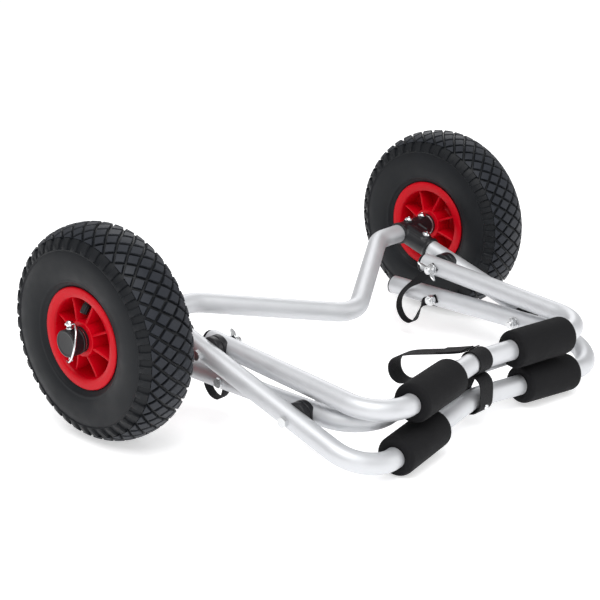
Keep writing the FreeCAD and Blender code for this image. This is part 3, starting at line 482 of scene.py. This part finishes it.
def tyre(side_name):
    mesh = bmesh.new()
    # Painted sheen layer: it marks the block tops, whose rubber colour is painted lighter to stand in for light
    painted_top_sheen = mesh.verts.layers.float.new("painted_top_sheen")               # 1 on the tops of the blocks
    tyre_carcass(mesh)
    rows = range(-TREAD_ROWS, TREAD_ROWS + 1)
    for index in range(BLOCKS_ROUND):
        for row in rows:
            around = (index + (row % 2) / 2) * BLOCK_PITCH
            trim = (row > 0) - (row < 0) if abs(row) == TREAD_ROWS else 0
            diamond_block(mesh, painted_top_sheen, around, row * BLOCK_PITCH / 2, trim)
    edge = (TREAD_ROWS * BLOCK_PITCH / 2 - 0.6 * MM) / BASE_HEIGHT
    for index in range(BLOCKS_ROUND):
        for wall in (-1, 1):
            around = (index + 0.5) * BLOCK_PITCH
            shoulder_lug(mesh, around, wall, edge, LUG_END, LUG_HALF)
    centre = WHEEL[side_name]
    bmesh.ops.transform(mesh, matrix=Matrix.Translation(centre), verts=mesh.verts)
    finish_piece(mesh, "tyre_%s_rubber" % side_name, "tyre", "wheel_" + side_name,
                 ["tyre_" + side_name], 40)


for side_name, _ in SIDES:
    tyre(side_name)


# ------------------------------------------------------------------ rims and valves
def rim(side_name):
    """A one-piece moulded rim: rolled lips, dished web, hub and eight tapered ribs a side."""
    mesh = bmesh.new()
    half = [(34, 13.1, 0.5), (34, 21.2, 1.6), (9, 23.2, 4), (6.2, 34, 3), (7.5, 45.6, 4),
            (30, 47.4, 2.0), (33.4, 49.2, 1.6), (34.8, 54.5, 2.5), (34.3, 60.6, 1.4),
            (32.6, 61.8, 0.7), (31.6, 60.4, 0.5), (31.6, 51.2, 1.5), (23, 50.7, 1), (21, 49.6, 1)]
    outline = half + [(-x, radius, bend) for x, radius, bend in reversed(half)]
    centre = WHEEL[side_name]
    revolve(mesh, rounded(scaled(outline), 0, 4), Vector((0, 0, 0)), X_AXIS, segments=128,
            start=Vector((0, 1, 0)))
    stations = [(20.5, 32.6), (26, 31.4), (32, 30.2), (38, 29.2), (43.5, 28.6), (48.4, 28.4)]
    for index in range(16):
        wall = 1 if index % 2 else -1
        angle = math.radians(22.5 + 45 * (index // 2))
        spoke = Vector((0, math.cos(angle), math.sin(angle)))
        across = Vector((0, -spoke.z, spoke.y))
        rings = []
        for radius, crest in stations:
            shape = [(-2.4, 5), (-1.5, crest - 1.0), (-1.05, crest - 0.25), (-0.4, crest),
                     (0.4, crest), (1.05, crest - 0.25), (1.5, crest - 1.0), (2.4, 5)]
            rings.append([mesh.verts.new((spoke * radius + across * offset
                                          + X_AXIS * (wall * height)) * MM)
                          for offset, height in shape])
        join_rings(mesh, rings, closed=False)
        for end in (rings[0], rings[-1]):
            mesh.faces.new(end)
    bmesh.ops.transform(mesh, matrix=Matrix.Translation(centre), verts=mesh.verts)
    finish_piece(mesh, "rim_%s_moulding" % side_name, "rim_plastic", "wheel_" + side_name,
                 ["rim_" + side_name], 50)


VALVE_LEAN = math.radians(35)
VALVE_ROOT = (13, 51)                                        # out from the wheel plane, up


def valve(side_name, side):
    """A rubber valve stem with its ribbed cap."""
    lean = Vector((side * math.sin(VALVE_LEAN), 0, -math.cos(VALVE_LEAN)))
    centre = WHEEL[side_name]
    root = centre + Vector((side * VALVE_ROOT[0], 0, VALVE_ROOT[1])) * MM
    mesh = bmesh.new()
    stem = [(0, 6.2), (1.5, 6.4), (3, 4.9), (5, 4.3), (9, 3.9), (14.5, 3.7), (15, 3.4)]
    capped(mesh, scaled(stem), root, lean, 32)
    finish_piece(mesh, "valve_%s_stem" % side_name, "butyl", "wheel_" + side_name,
                 ["valve_stem_" + side_name], 40)
    mesh = bmesh.new()
    cap = [(15.2, 3.9), (15.4, 4.4), (25.4, 4.3), (26.5, 3.6), (26.9, 2.4), (27, 0.4)]
    segments = 48
    first, second = ring_frame(lean)
    rings = []
    for step in range(segments):
        angle = 2 * math.pi * step / segments
        spoke = first * math.cos(angle) + second * math.sin(angle)
        knurl = 0.35 if step % 4 in (0, 1) else 0.0
        rings.append([mesh.verts.new(root + lean * along * MM + spoke
                                     * (radius + (knurl if 15.3 < along < 26 else 0)) * MM)
                      for along, radius in cap])
    for step in range(segments):
        here, there = rings[step], rings[(step + 1) % segments]
        for spot in range(len(cap) - 1):
            mesh.faces.new((here[spot], here[spot + 1], there[spot + 1], there[spot]))
    for end in (0, -1):
        mesh.faces.new([ring[end] for ring in rings])
    finish_piece(mesh, "valve_%s_cap" % side_name, "black_plastic", "wheel_" + side_name,
                 ["valve_cap_" + side_name], 35)


for side_name, side in SIDES:
    rim(side_name)
    valve(side_name, side)


# ------------------------------------------------------------------ axle ends and lynch pins
def axle_end(side_name, side):
    """The moulded end cap, with its stepped rim and shallow dished face."""
    low, high = box_of("axle_end_cap_" + side_name)
    radius = (high.z - low.z) / 2 / MM
    inner, outer = sorted((abs(low.x), abs(high.x)))
    mesh = bmesh.new()
    profile = [(inner / MM, 10.2, 0), (inner / MM, radius - 0.6, 0.5),
               (inner / MM + 3, radius, 0.5), (inner / MM + 3.6, radius - 0.7, 0.3),
               (inner / MM + 4.4, radius - 0.7, 0.3), (inner / MM + 5, radius, 0.3),
               (outer / MM - 0.4, radius - 0.2, 1.3), (outer / MM, radius - 2.4, 0.6),
               (outer / MM - 0.5, radius - 3.6, 0.5), (outer / MM - 0.7, 0.4, 0)]
    outline = [(side * along, far) for along, far in rounded(scaled(profile), 0, 4)]
    capped(mesh, outline, Vector((0, AXLE.y, AXLE.z)), X_AXIS, 64)
    finish_piece(mesh, "axle_cap_%s" % side_name, "black_plastic", "root",
                 ["axle_end_cap_" + side_name], 35)


def lynch_pin(side_name, side):
    """A plated pin with a turned collar under its round head, and a wire bow through the head."""
    head = joint_place("lynch_bow_open_" + side_name)
    drop = -Z_AXIS
    mesh = bmesh.new()
    profile = [(-4.6, 0.3), (-4.2, 1.9), (-3.2, 3.3), (-1.6, 4.3), (0, 4.6), (1.6, 4.3),
               (3.1, 3.5), (4.2, 3.4), (4.4, 4.3), (5.2, 4.3), (5.4, 3.0), (43.2, 3.0),
               (44.6, 2.2), (45.2, 0.3)]
    capped(mesh, scaled(profile), head, drop, 32)
    finish_piece(mesh, "lynch_pin_%s_plated" % side_name, "bright_steel",
                 "lynch_pin_" + side_name, ["lynch_pin_" + side_name], 40)
    inwards = Vector(JOINTS["lynch_bow_open_" + side_name]["axis"]) * side
    outwards = Z_AXIS.cross(inwards) * side
    entry = head + inwards * 6 * MM
    free_end = head - inwards * 4.5 * MM - Z_AXIS * 44.4 * MM
    middle = (entry + free_end) / 2
    half_chord = (free_end - entry) / 2
    path = [head - inwards * 5.6 * MM, head - inwards * 2 * MM, head + inwards * 2 * MM,
            head + inwards * 4.6 * MM]
    for step in range(2, 40):
        angle = math.pi * step / 40
        path.append(middle - half_chord * math.cos(angle)
                    + outwards * half_chord.length * math.sin(angle))
    path.append(free_end)
    mesh = bmesh.new()
    hint = [Z_AXIS if index < 4 else inwards for index in range(len(path))]
    sweep(mesh, path, circle_section(1.25 * MM, 14), hint)
    finish_piece(mesh, "lynch_bow_%s_wire" % side_name, "bright_steel",
                 "lynch_bow_" + side_name, ["lynch_bow_" + side_name], 60)


for side_name, side in SIDES:
    axle_end(side_name, side)
    lynch_pin(side_name, side)


# ------------------------------------------------------------------ brackets
def leg_point(x, front, up):
    """A place beside a lower leg: across, ahead of the axle along the leg, above its line."""
    return AXLE + X_AXIS * x * MM + LEG_DIRECTION * front * MM + LEG_UP * up * MM


def tube_solid(mesh, start, end, radius, segments=40):
    """A plain round bar used as one body of a moulding."""
    axis = end - start
    profile = [(0, radius - 0.6), (0.6, radius), (axis.length / MM - 0.6, radius),
               (axis.length / MM, radius - 0.6)]
    capped(mesh, scaled(profile), start, axis, segments)


def slab(mesh, corners_low, corners_high):
    """A closed block between two four-cornered faces."""
    low = [mesh.verts.new(corner) for corner in corners_low]
    high = [mesh.verts.new(corner) for corner in corners_high]
    mesh.faces.new(low)
    mesh.faces.new(high)
    for spot in range(4):
        following = (spot + 1) % 4
        mesh.faces.new((low[spot], low[following], high[following], high[spot]))


def bracket(side_name, side):
    """The moulded bracket: arch arm, axle arm and leg arm run into one rounded body."""
    mesh = bmesh.new()

    def along(x):
        return AXLE + X_AXIS * side * x * MM

    tube_solid(mesh, along(222), along(282), 14.5)
    tube_solid(mesh, along(221.6), along(226), 15.3)
    tube_solid(mesh, leg_point(side * 236, 6, 0), leg_point(side * 236, 50, 0), 14.5)
    tube_solid(mesh, leg_point(side * 236, 46.5, 0), leg_point(side * 236, 50.8, 0), 15.3)
    faces = []
    for up in (-4, 12.4):
        faces.append([leg_point(side * x, front, up) for x, front in
                      ((226, -2), (261, -2), (256, 26), (226, 36))])
    slab(mesh, *faces)
    for rib_x in (238, 254):
        rib = [[leg_point(side * x, front, up) for x, front in
                ((rib_x - 1.3, 8), (rib_x + 1.3, 8), (rib_x + 1.3, 30 - (rib_x - 238) * 0.4),
                 (rib_x - 1.3, 30 - (rib_x - 238) * 0.4))] for up in (4, 14.2)]
        slab(mesh, *rib)
    tube_solid(mesh, along(275) + Z_AXIS * 6 * MM, along(275) + Z_AXIS * 15.2 * MM, 6.6)
    tube_solid(mesh, along(245.5) + Z_AXIS * 6 * MM, along(245.5) + Z_AXIS * 15.2 * MM, 7.2)
    tube_solid(mesh, leg_point(side * 236, 36, 6), leg_point(side * 236, 36, 15.2), 7.2)
    piece = finish_piece(mesh, "bracket_%s_moulding" % side_name, "black_plastic", None,
                         ["bracket_" + side_name], 180)
    blend_solid(piece, 0.9 * MM, 3)
    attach(piece, "root")


def blend_solid(piece, grain, passes):
    """Run overlapping bodies into one skin with filleted meetings."""
    remesh = piece.modifiers.new("skin", "REMESH")
    remesh.mode = "VOXEL"
    remesh.voxel_size = grain
    smooth = piece.modifiers.new("fillet", "SMOOTH")
    smooth.iterations = passes
    smooth.factor = 0.5
    bpy.context.view_layer.update()
    graph = bpy.context.evaluated_depsgraph_get()
    skin = bpy.data.meshes.new_from_object(piece.evaluated_get(graph))
    piece.modifiers.clear()
    piece.data = skin
    skin.shade_smooth()


def screw_head(mesh, place, axis, radius=5.5 * MM):
    """A domed head with a cross recess pressed into its top."""
    first, second = ring_frame(axis)
    rings = []
    tiers = [(0.0, 1.0), (0.10, 1.02), (0.30, 0.97), (0.50, 0.84), (0.63, 0.66), (0.70, 0.46),
             (0.73, 0.28)]
    segments = 32
    for height, share in tiers:
        ring = []
        for step in range(segments):
            angle = 2 * math.pi * step / segments
            spoke = first * math.cos(angle) + second * math.sin(angle)
            ring.append(mesh.verts.new(place + axis * height * radius + spoke * share * radius))
        rings.append(ring)
    join_rings(mesh, rings)
    mesh.faces.new(rings[0])
    deep = []
    for step in range(segments):
        angle = 2 * math.pi * step / segments
        spoke = first * math.cos(angle) + second * math.sin(angle)
        cross = 0.22 if step % 8 in (0, 1, 7) else 0.09
        deep.append(mesh.verts.new(place + axis * 0.42 * radius + spoke * cross * radius))
    join_rings(mesh, [rings[-1], deep])
    mesh.faces.new(deep)


for side_name, side in SIDES:
    bracket(side_name, side)
screws = bmesh.new()
for _, side in SIDES:
    for x in (245.5, 275):
        screw_head(screws, AXLE + (X_AXIS * side * x + Z_AXIS * 15) * MM, Z_AXIS)
    screw_head(screws, leg_point(side * 236, 36, 15), LEG_UP)
finish_piece(screws, "bracket_screw_heads", "bright_steel", "root", ["bracket_screws"], 40)


# ------------------------------------------------------------------ spacers between the legs
def world_points(node_name):
    node = frame["nodes"][node_name]
    return [node.matrix_world @ vertex.co for vertex in node.data.vertices]


def saddle_pair(prefix, pivot):
    """Moulded spacers: round bosses, whose ends reach into the tubes that they sit on."""
    for role, body, inner, outer in (("outer", "root", 221.2, 229.5),
                                     ("inner", prefix, 212.5, 220.8)):
        mesh = bmesh.new()
        for _, side in SIDES:
            profile = [(inner, 4.2, 0), (inner, 15.0, 0.8), (inner + 1.2, 15.9, 0.6),
                       (outer - 1.5, 15.9, 0.6), (outer, 15.4, 0.4), (outer, 4.2, 0)]
            outline = [(side * along, far) for along, far in rounded(scaled(profile), 0, 3)]
            revolve(mesh, outline, Vector((0, pivot.y, pivot.z)), X_AXIS, 48)
        finish_piece(mesh, "%s_%s_spacer" % (prefix, role), "black_plastic", body,
                     ["%s_%s_saddles" % (prefix, role)], 35)


saddle_pair("cradle", CRADLE_PIVOT)
saddle_pair("prop", PROP_PIVOT)


# ------------------------------------------------------------------ fasteners
def hexagon(mesh, side, start, end, place, across=13.0, turn=0.3):
    """A hexagonal nut or head along X, its corners chamfered on the free face."""
    segments = 60
    rings = []
    length = end - start
    tiers = [(0.0, 0.93), (0.08, 1.0), (0.84, 1.0), (1.0, 0.90)]
    for share, chamfer in tiers:
        ring = []
        for step in range(segments):
            angle = 2 * math.pi * step / segments
            sector = (angle % (math.pi / 3)) - math.pi / 6
            flat = across / 2 / math.cos(sector)
            corner = across / 2 / math.cos(math.pi / 6)
            radius = min(flat, corner * chamfer) * MM
            spoke = Vector((0, math.cos(angle + turn), math.sin(angle + turn)))
            ring.append(mesh.verts.new(Vector((side * (start + length * share) * MM, place.y, place.z))
                                       + spoke * radius))
        rings.append(ring)
    join_rings(mesh, rings)
    mesh.faces.new(rings[0])
    mesh.faces.new(rings[-1])


def bolt_shank(mesh, side, start, end, place, radius=4.0, threaded=0.0):
    """A shank along X with a chamfered tip and a rolled thread towards the middle."""
    profile = [(end, 0.2), (end, radius)]
    if threaded:
        turns = int((threaded) / 1.25)
        for index in range(turns):
            base = start + threaded - index * 1.25
            profile += [(base, radius), (base - 0.62, radius - 0.55)]
        profile += [(start + 0.8, radius - 0.1)]
    profile += [(start + 0.5, radius - 0.2), (start, radius - 0.9), (start, 0.2)]
    outline = [(side * along, far) for along, far in scaled(profile)]
    capped(mesh, outline, Vector((0, place.y, place.z)), X_AXIS, 24)


def washer(mesh, side, start, end, place, outer=8.5, inner=4.1):
    profile = [(start, inner, 0), (start, outer, 0.3), (end, outer, 0.3), (end, inner, 0)]
    outline = [(side * along, far) for along, far in rounded(scaled(profile), 0, 3)]
    revolve(mesh, outline, Vector((0, place.y, place.z)), X_AXIS, 40)


LIMITER = (box_of("limiter_bolts")[0] + box_of("limiter_bolts")[1]) / 2
LIMITER.x = 0
cradle_bolts = bmesh.new()
prop_bolts = bmesh.new()
limiter_bolts = bmesh.new()
limiter_nuts = bmesh.new()
prop_nuts = bmesh.new()
washers = bmesh.new()
thrust = bmesh.new()
for _, side in SIDES:
    for mesh, place, tail in ((cradle_bolts, CRADLE_PIVOT, 180), (prop_bolts, PROP_PIVOT, 181)):
        hexagon(mesh, side, 248.5, 253.4, place, 11.6, 0.5)
        bolt_shank(mesh, side, tail, 249, place, threaded=12)
    hexagon(limiter_bolts, side, 218.6, 222, LIMITER, 11.6, 0.2)
    bolt_shank(limiter_bolts, side, 181.2, 219, LIMITER, threaded=9)
    for mesh, place, start in ((prop_nuts, PROP_PIVOT, 185.2), (limiter_nuts, LIMITER, 185.1)):
        hexagon(mesh, side, start, start + 6.4, place, turn=0.1)
        washer(mesh, side, start - 2, start, place, 6.1, 4.05)
    washer(washers, side, 190.1, 191.6, CRADLE_PIVOT)
    washer(washers, side, 191.7, 193.2, PROP_PIVOT)
    washer(thrust, side, 282, 283.5, AXLE, 15, 10)
    washer(thrust, side, 356.5, 358, AXLE, 15, 10)
finish_piece(cradle_bolts, "cradle_bolts_zinc", "zinc", "root", ["cradle_bolts"], 35)
finish_piece(prop_bolts, "prop_bolts_zinc", "zinc", "root", ["prop_bolts"], 35)
finish_piece(limiter_bolts, "limiter_bolts_zinc", "zinc", "prop", ["limiter_bolts"], 35)
finish_piece(limiter_nuts, "limiter_nuts_zinc", "zinc", "prop", ["limiter_nuts"], 35)
finish_piece(prop_nuts, "prop_nuts_zinc", "zinc", "root", ["prop_lock_nuts"], 35)
finish_piece(washers, "pivot_washers_zinc", "zinc", "root", ["pivot_washers"], 35)
finish_piece(thrust, "thrust_washers_zinc", "zinc", "root", ["thrust_washers"], 35)


EAR_SIDES = 14


def wing_nut(side_name, side):
    """A cast wing nut: conical hub and two ears that sweep up and out."""
    mesh = bmesh.new()
    face = 189.8
    profile = [(face, 4.1), (face, 7.0), (face - 0.6, 7.3), (face - 3, 6.9), (face - 7.4, 5.6),
               (face - 8.0, 5.2), (face - 8.0, 4.1)]
    outline = [(side * along, far) for along, far in scaled(profile)]
    revolve(mesh, outline, Vector((0, CRADLE_PIVOT.y, CRADLE_PIVOT.z)), X_AXIS, 36)
    for turn in (35, 215):
        angle = math.radians(turn)
        spoke = Vector((0, math.cos(angle), math.sin(angle)))
        thick = Vector((0, -spoke.z, spoke.y))
        path = []
        for reach, along in ((4.4, face - 3.6), (7, face - 5.2), (10, face - 7.4),
                             (13, face - 9.0), (16, face - 9.8), (17.6, face - 9.9)):
            path.append(Vector((side * along * MM, CRADLE_PIVOT.y, CRADLE_PIVOT.z))
                        + spoke * reach * MM)
        widths = (3.0, 3.3, 3.6, 3.4, 2.6, 1.2)
        rings = []
        for index, point in enumerate(path):
            ahead = path[min(index + 1, len(path) - 1)]
            behind = path[max(index - 1, 0)]
            tangent = (ahead - behind).normalized()
            up = tangent.cross(thick).normalized()
            rings.append([mesh.verts.new(point + up * widths[index] * math.cos(a) * MM
                                         + thick * 1.25 * math.sin(a) * MM)
                          for a in [2 * math.pi * k / EAR_SIDES for k in range(EAR_SIDES)]])
        join_rings(mesh, rings)
        mesh.faces.new(rings[0])
        mesh.faces.new(rings[-1])
    finish_piece(mesh, "wing_nut_%s_cast" % side_name, "zinc", "wing_nut_" + side_name,
                 ["wing_nut_" + side_name], 40)


for side_name, side in SIDES:
    wing_nut(side_name, side)


# ------------------------------------------------------------------ tube end caps
def tube_ends(node, body, name):
    """Moulded plugs with a rounded flange, in the free ends of a frame's legs."""
    mesh = bmesh.new()
    points = world_points(node)
    for _, side in SIDES:
        ours = [point for point in points if point.x * side > 0]
        low = min(ours, key=lambda point: point.y)
        high = max(ours, key=lambda point: point.y)
        ends = [point for point in ours if point.y > high.y - 5 * MM]
        plug = [point for point in ours if point.y < low.y + 4.5 * MM]
        outer = sum(ends, Vector()) / len(ends)
        inner = sum(plug, Vector()) / len(plug)
        axis = (outer - inner).normalized()
        reach = max((point - inner).dot(axis) for point in ours)
        tip = inner + axis * reach
        profile = [(-15, 0.3, 0), (-15, 10.4, 0.5), (-3, 10.7, 0), (-3, 12.8, 0.3),
                   (-1.6, 12.9, 0.3), (0, 11.4, 1.1), (0, 0.3, 0)]
        capped(mesh, rounded(scaled(profile), 0, 4)[:-1], tip, axis, 48)
    finish_piece(mesh, name, "black_plastic", body, [node], 40)


tube_ends("upper_end_caps", "cradle", "cradle_leg_caps")
tube_ends("prop_foot_caps", "prop", "prop_leg_caps")


# ------------------------------------------------------------------ foam pads
def long_axis(node_name):
    """Centre, direction and half length of a straight node."""
    points = world_points(node_name)
    low = min(points, key=lambda point: point.x)
    high = max(points, key=lambda point: point.x)
    left = [p for p in points if p.x < low.x + 12 * MM]
    right = [p for p in points if p.x > high.x - 12 * MM]
    ends = [sum(group, Vector()) / len(group) for group in (left, right)]
    axis = (ends[1] - ends[0]).normalized()
    centre = (ends[0] + ends[1]) / 2
    spread = [(point - centre).dot(axis) for point in points]
    centre += axis * (max(spread) + min(spread)) / 2
    return centre, axis, (max(spread) - min(spread)) / 2


for prefix, body in (("lower", "root"), ("upper", "cradle")):
    for side_name, side in SIDES:
        node = "%s_pad_%s" % (prefix, side_name)
        centre, axis, half = long_axis(node)
        half /= MM
        profile = [(-half, 12.45, 0), (-half, 22.0, 3.2), (-half + 3.4, 23.7, 3.0)]
        middle = [(-half + 12 + index * (2 * half - 24) / 12, 23.8, 1.5) for index in range(13)]
        profile += middle + [(half - 3.4, 23.7, 3.0), (half, 22.0, 3.2), (half, 12.45, 0)]
        mesh = bmesh.new()
        revolve(mesh, rounded(scaled(profile), 0, 5), centre, axis, 72, start=Z_AXIS)
        pad = finish_piece(mesh, node + "_foam", "foam", body, [node], 180)


# ------------------------------------------------------------------ webbing straps
def smooth_path(points, subdivisions=6, closed=False):
    """A Catmull-Rom curve through points."""
    result = []
    count = len(points)
    last = count if closed else count - 1
    for index in range(last):
        quad = []
        for offset in (-1, 0, 1, 2):
            spot = index + offset
            quad.append(points[spot % count] if closed else points[min(max(spot, 0), count - 1)])
        a, b, c, d = quad
        for step in range(subdivisions):
            t = step / subdivisions
            result.append(0.5 * ((2 * b) + (c - a) * t + (2 * a - 5 * b + 4 * c - d) * t ** 2
                                 + (3 * b - a - 3 * c + d) * t ** 3))
    if not closed:
        result.append(points[-1])
    return result


def ribbon(name, path, width, thick, body, nodes=(), closed=False, widths=None, bend=None):
    """A woven strap: raised selvedges, a slight crown, and UVs in metres for the weave."""
    half = width / 2
    lines = [-1.0, -0.94, -0.86, -0.6, -0.3, 0.0, 0.3, 0.6, 0.86, 0.94, 1.0]
    crown = [0.55, 0.95, 0.82, 0.92, 0.97, 1.0, 0.97, 0.92, 0.82, 0.95, 0.55]
    section = [(half * a, thick / 2 * b) for a, b in zip(lines, crown)]
    section += [(half * a, -thick / 2 * b) for a, b in zip(reversed(lines), reversed(crown))]
    mesh = bmesh.new()
    rings = sweep(mesh, path, section, widths if widths is not None else X_AXIS, closed)
    layer = mesh.loops.layers.uv.new("weave")
    reach = [0.0]
    for before, after in zip(path, path[1:] + path[:1]):
        reach.append(reach[-1] + (after - before).length)
    along = {}
    across = {}
    for index, ring in enumerate(rings):
        for vertex, (offset, _) in zip(ring, section):
            along[vertex] = reach[index]
            across[vertex] = offset
    for face in mesh.faces:
        values = [along[loop.vert] for loop in face.loops]
        wrap = max(values) - min(values) > reach[-1] / 2
        for loop in face.loops:
            u = along[loop.vert]
            if wrap and u < reach[-1] / 2:
                u += reach[-1]
            loop[layer].uv = (u, across[loop.vert])
    piece = finish_piece(mesh, name, "webbing", body, nodes, 50)
    if bend:
        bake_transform(piece)
    return piece


def yz(points, x):
    return [Vector((x, y, z)) * MM for y, z in points]


def outline_loop(points, x, subdivisions=6):
    return smooth_path(yz(points, x), subdivisions, closed=True)


STRAP_X = 0
strand = [(-186.5, 96.4), (-176.5, 91), (-160, 85.5), (-130, 77), (-112, 72), (-97, 67.5),
          (-83, 62.2), (-73, 56), (-68.2, 50), (-66.8, 43.5), (-68.5, 35.5), (-74, 29.4),
          (-84, 26.8), (-95, 30.4), (-107, 34.6), (-130, 37.6), (-160, 40.2), (-172, 39.4),
          (-177.4, 39.6)]
upper_ring = [(-192.2 + 14.4 * math.cos(step * math.pi / 6), 81.2 + 14.4 * math.sin(step * math.pi / 6))
              for step in range(12)]
lower_loop = [(-175.2, 36), (-174.8, 30), (-176.2, 23.5), (-182, 17.8), (-190, 16.2),
              (-198, 17.8), (-204.5, 22.4), (-207.9, 29), (-208.6, 40), (-208, 51),
              (-206.2, 58), (-201, 63.2), (-194.5, 64.8), (-187.5, 63.4), (-182.6, 58),
              (-180.6, 50), (-177.6, 42.5)]
ribbon("spreader_strap_strand", smooth_path(yz(strand, STRAP_X), 8), 25 * MM, 1.5 * MM, None,
       ["spreader_strap_upper", "spreader_strap_lower"],
       bend=("root", "cradle", Vector((STRAP_X, -84, 31)) * MM,
             Vector((STRAP_X, -78.5, 59.9)) * MM))
ribbon("spreader_strap_ring", outline_loop(upper_ring, STRAP_X), 25 * MM, 1.5 * MM, "cradle",
       closed=True)
ribbon("spreader_strap_loop", outline_loop(lower_loop, STRAP_X), 25 * MM, 1.5 * MM, "root",
       closed=True)
ribbon("spreader_strap_tab", smooth_path(yz([(-178, 93.2), (-168, 89.9), (-152, 84.9),
                                              (-140, 81.5)], STRAP_X), 8),
       24.6 * MM, 1.4 * MM, "cradle")
rivet = bmesh.new()
screw_head(rivet, Vector((STRAP_X, -208.4, 27)) * MM, Vector((0, -0.97, -0.24)).normalized(),
           3.2 * MM)
finish_piece(rivet, "spreader_strap_rivet", "bright_steel", "root", (), 40)


def limiter_strap(side_name, side):
    """A short strap between the prop frame's bolt and the cradle bolt, hanging in a loop."""
    face = 192.4

    def spot(inward, y, z):
        return Vector((side * (face - inward), y, z)) * MM

    def beside(pivot, inward, back, up):
        return spot(inward, pivot.y / MM + back, pivot.z / MM + up)

    prop_tab = [beside(LIMITER, 0, -7, 3), beside(LIMITER, 0, 0, 0),
                beside(LIMITER, 0.4, 8, -3.5)]
    root_tab = [beside(CRADLE_PIVOT, 0, -5.5, 5.2), beside(CRADLE_PIVOT, 0, 0, 0),
                beside(CRADLE_PIVOT, 0.3, 8, -7.6)]
    prop_width = Vector((0, 0.4, 0.916))
    root_width = Vector((0, -0.688, -0.726))
    along = [(prop_tab[2], prop_width),
             (spot(2.5, 36.5, 53), Vector((0.5 * side, 0.35, 0.8))),
             (spot(5, 40.5, 44), Vector((side, 0.4, 0.3))),
             (spot(6, 44, 34), Vector((side, 0.2, 0.1))),
             (spot(6, 49, 25.2), Vector((side, 0, 0))),
             (spot(6, 56, 21), Vector((side, 0, 0))),
             (spot(6, 66, 23), Vector((side, 0, 0))),
             (spot(6, 73.5, 30.5), Vector((side, 0, 0))),
             (spot(6, 77, 40.5), Vector((side, 0, 0))),
             (spot(6, 75.5, 52), Vector((side, 0, 0))),
             (spot(6, 69.5, 62.5), Vector((side, -0.1, -0.1))),
             (spot(6, 61, 71.5), Vector((side, -0.2, -0.2))),
             (spot(4.5, 51, 79.5), Vector((0.8 * side, -0.4, -0.5))),
             (spot(2, 42, 87.5), Vector((0.4 * side, -0.6, -0.75))),
             (root_tab[2], root_width)]
    points = smooth_path([point for point, _ in along], 6)
    hints = smooth_path([hint for _, hint in along], 6)
    start = spot(0, 42, 46)
    ribbon("limiter_strap_%s_loop" % side_name, points, 12 * MM, 1.4 * MM, None,
           ["limiter_strap_lower_" + side_name, "limiter_strap_upper_" + side_name],
           widths=hints, bend=("prop", "root", start, start + Vector((0, 14, 12)) * MM))
    for body, path, width in (("prop", prop_tab, prop_width), ("root", root_tab, root_width)):
        ribbon("limiter_strap_%s_%s_end" % (side_name, body), smooth_path(path, 6), 12 * MM,
               1.5 * MM, body, widths=width)


for side_name, side in SIDES:
    limiter_strap(side_name, side)


# ------------------------------------------------------------------ stage, light and camera
def area_light(name, place, target, size, power, size_y=None):
    data = bpy.data.lights.new(name, "AREA")
    data.energy = power
    data.shape = "RECTANGLE"
    data.size = size
    data.size_y = size_y or size
    lamp = bpy.data.objects.new(name, data)
    bpy.context.scene.collection.objects.link(lamp)
    lamp.location = place
    lamp.rotation_euler = (Vector(target) - Vector(place)).to_track_quat("-Z", "Y").to_euler()
    return lamp


bpy.ops.mesh.primitive_plane_add(size=14, location=(0, 0, 0))
floor = bpy.context.object
floor.name = "studio_floor"
floor_material, floor_nodes, floor_links, floor_surface = shader("studio_paper", Roughness=0.9)
paper = noise(floor_nodes, floor_links, texture_space(floor_nodes, floor_links), 8, 3)
floor_links.new(tint(floor_nodes, floor_links, paper, (0.86, 0.86, 0.865), (0.88, 0.88, 0.885)),
                floor_surface.inputs["Base Color"])
floor_surface.inputs["Emission Color"].default_value = (1, 1, 1, 1)
floor_surface.inputs["Emission Strength"].default_value = 0.5
floor.data.materials.append(floor_material)
lamps = [area_light("key_softbox", (-1.2, -0.6, 2.6), (0, 0, 0.1), 2.2, 58),
         area_light("fill_softbox", (-2.4, -2.6, 1.3), (0, 0, 0.1), 2.6, 16),
         area_light("rim_softbox", (2.2, 1.6, 1.8), (0, 0, 0.1), 1.8, 22),
         area_light("side_softbox", (1.6, -2.2, 1.0), (0, 0, 0.1), 1.8, 14)]

world = bpy.data.worlds.new("studio_white")
bpy.context.scene.world = world
world.use_nodes = True
world.node_tree.nodes["Background"].inputs["Color"].default_value = (1, 1, 1, 1)
world.node_tree.nodes["Background"].inputs["Strength"].default_value = 0.5
bpy.context.scene.view_settings.view_transform = "Standard"
bpy.context.scene.view_settings.look = "None"

YAW, PITCH = 0.828, -0.332
eye = bpy.data.objects.new("camera", bpy.data.cameras.new("camera"))
bpy.context.scene.collection.objects.link(eye)
eye.location = (-1.4022, -1.194, 0.7476)
view = Vector((math.cos(PITCH) * math.sin(YAW), math.cos(PITCH) * math.cos(YAW), math.sin(PITCH)))
eye.rotation_euler = view.to_track_quat("-Z", "Y").to_euler()
eye.data.lens = 92.43
eye.data.sensor_width = 36
bpy.context.scene.camera = eye
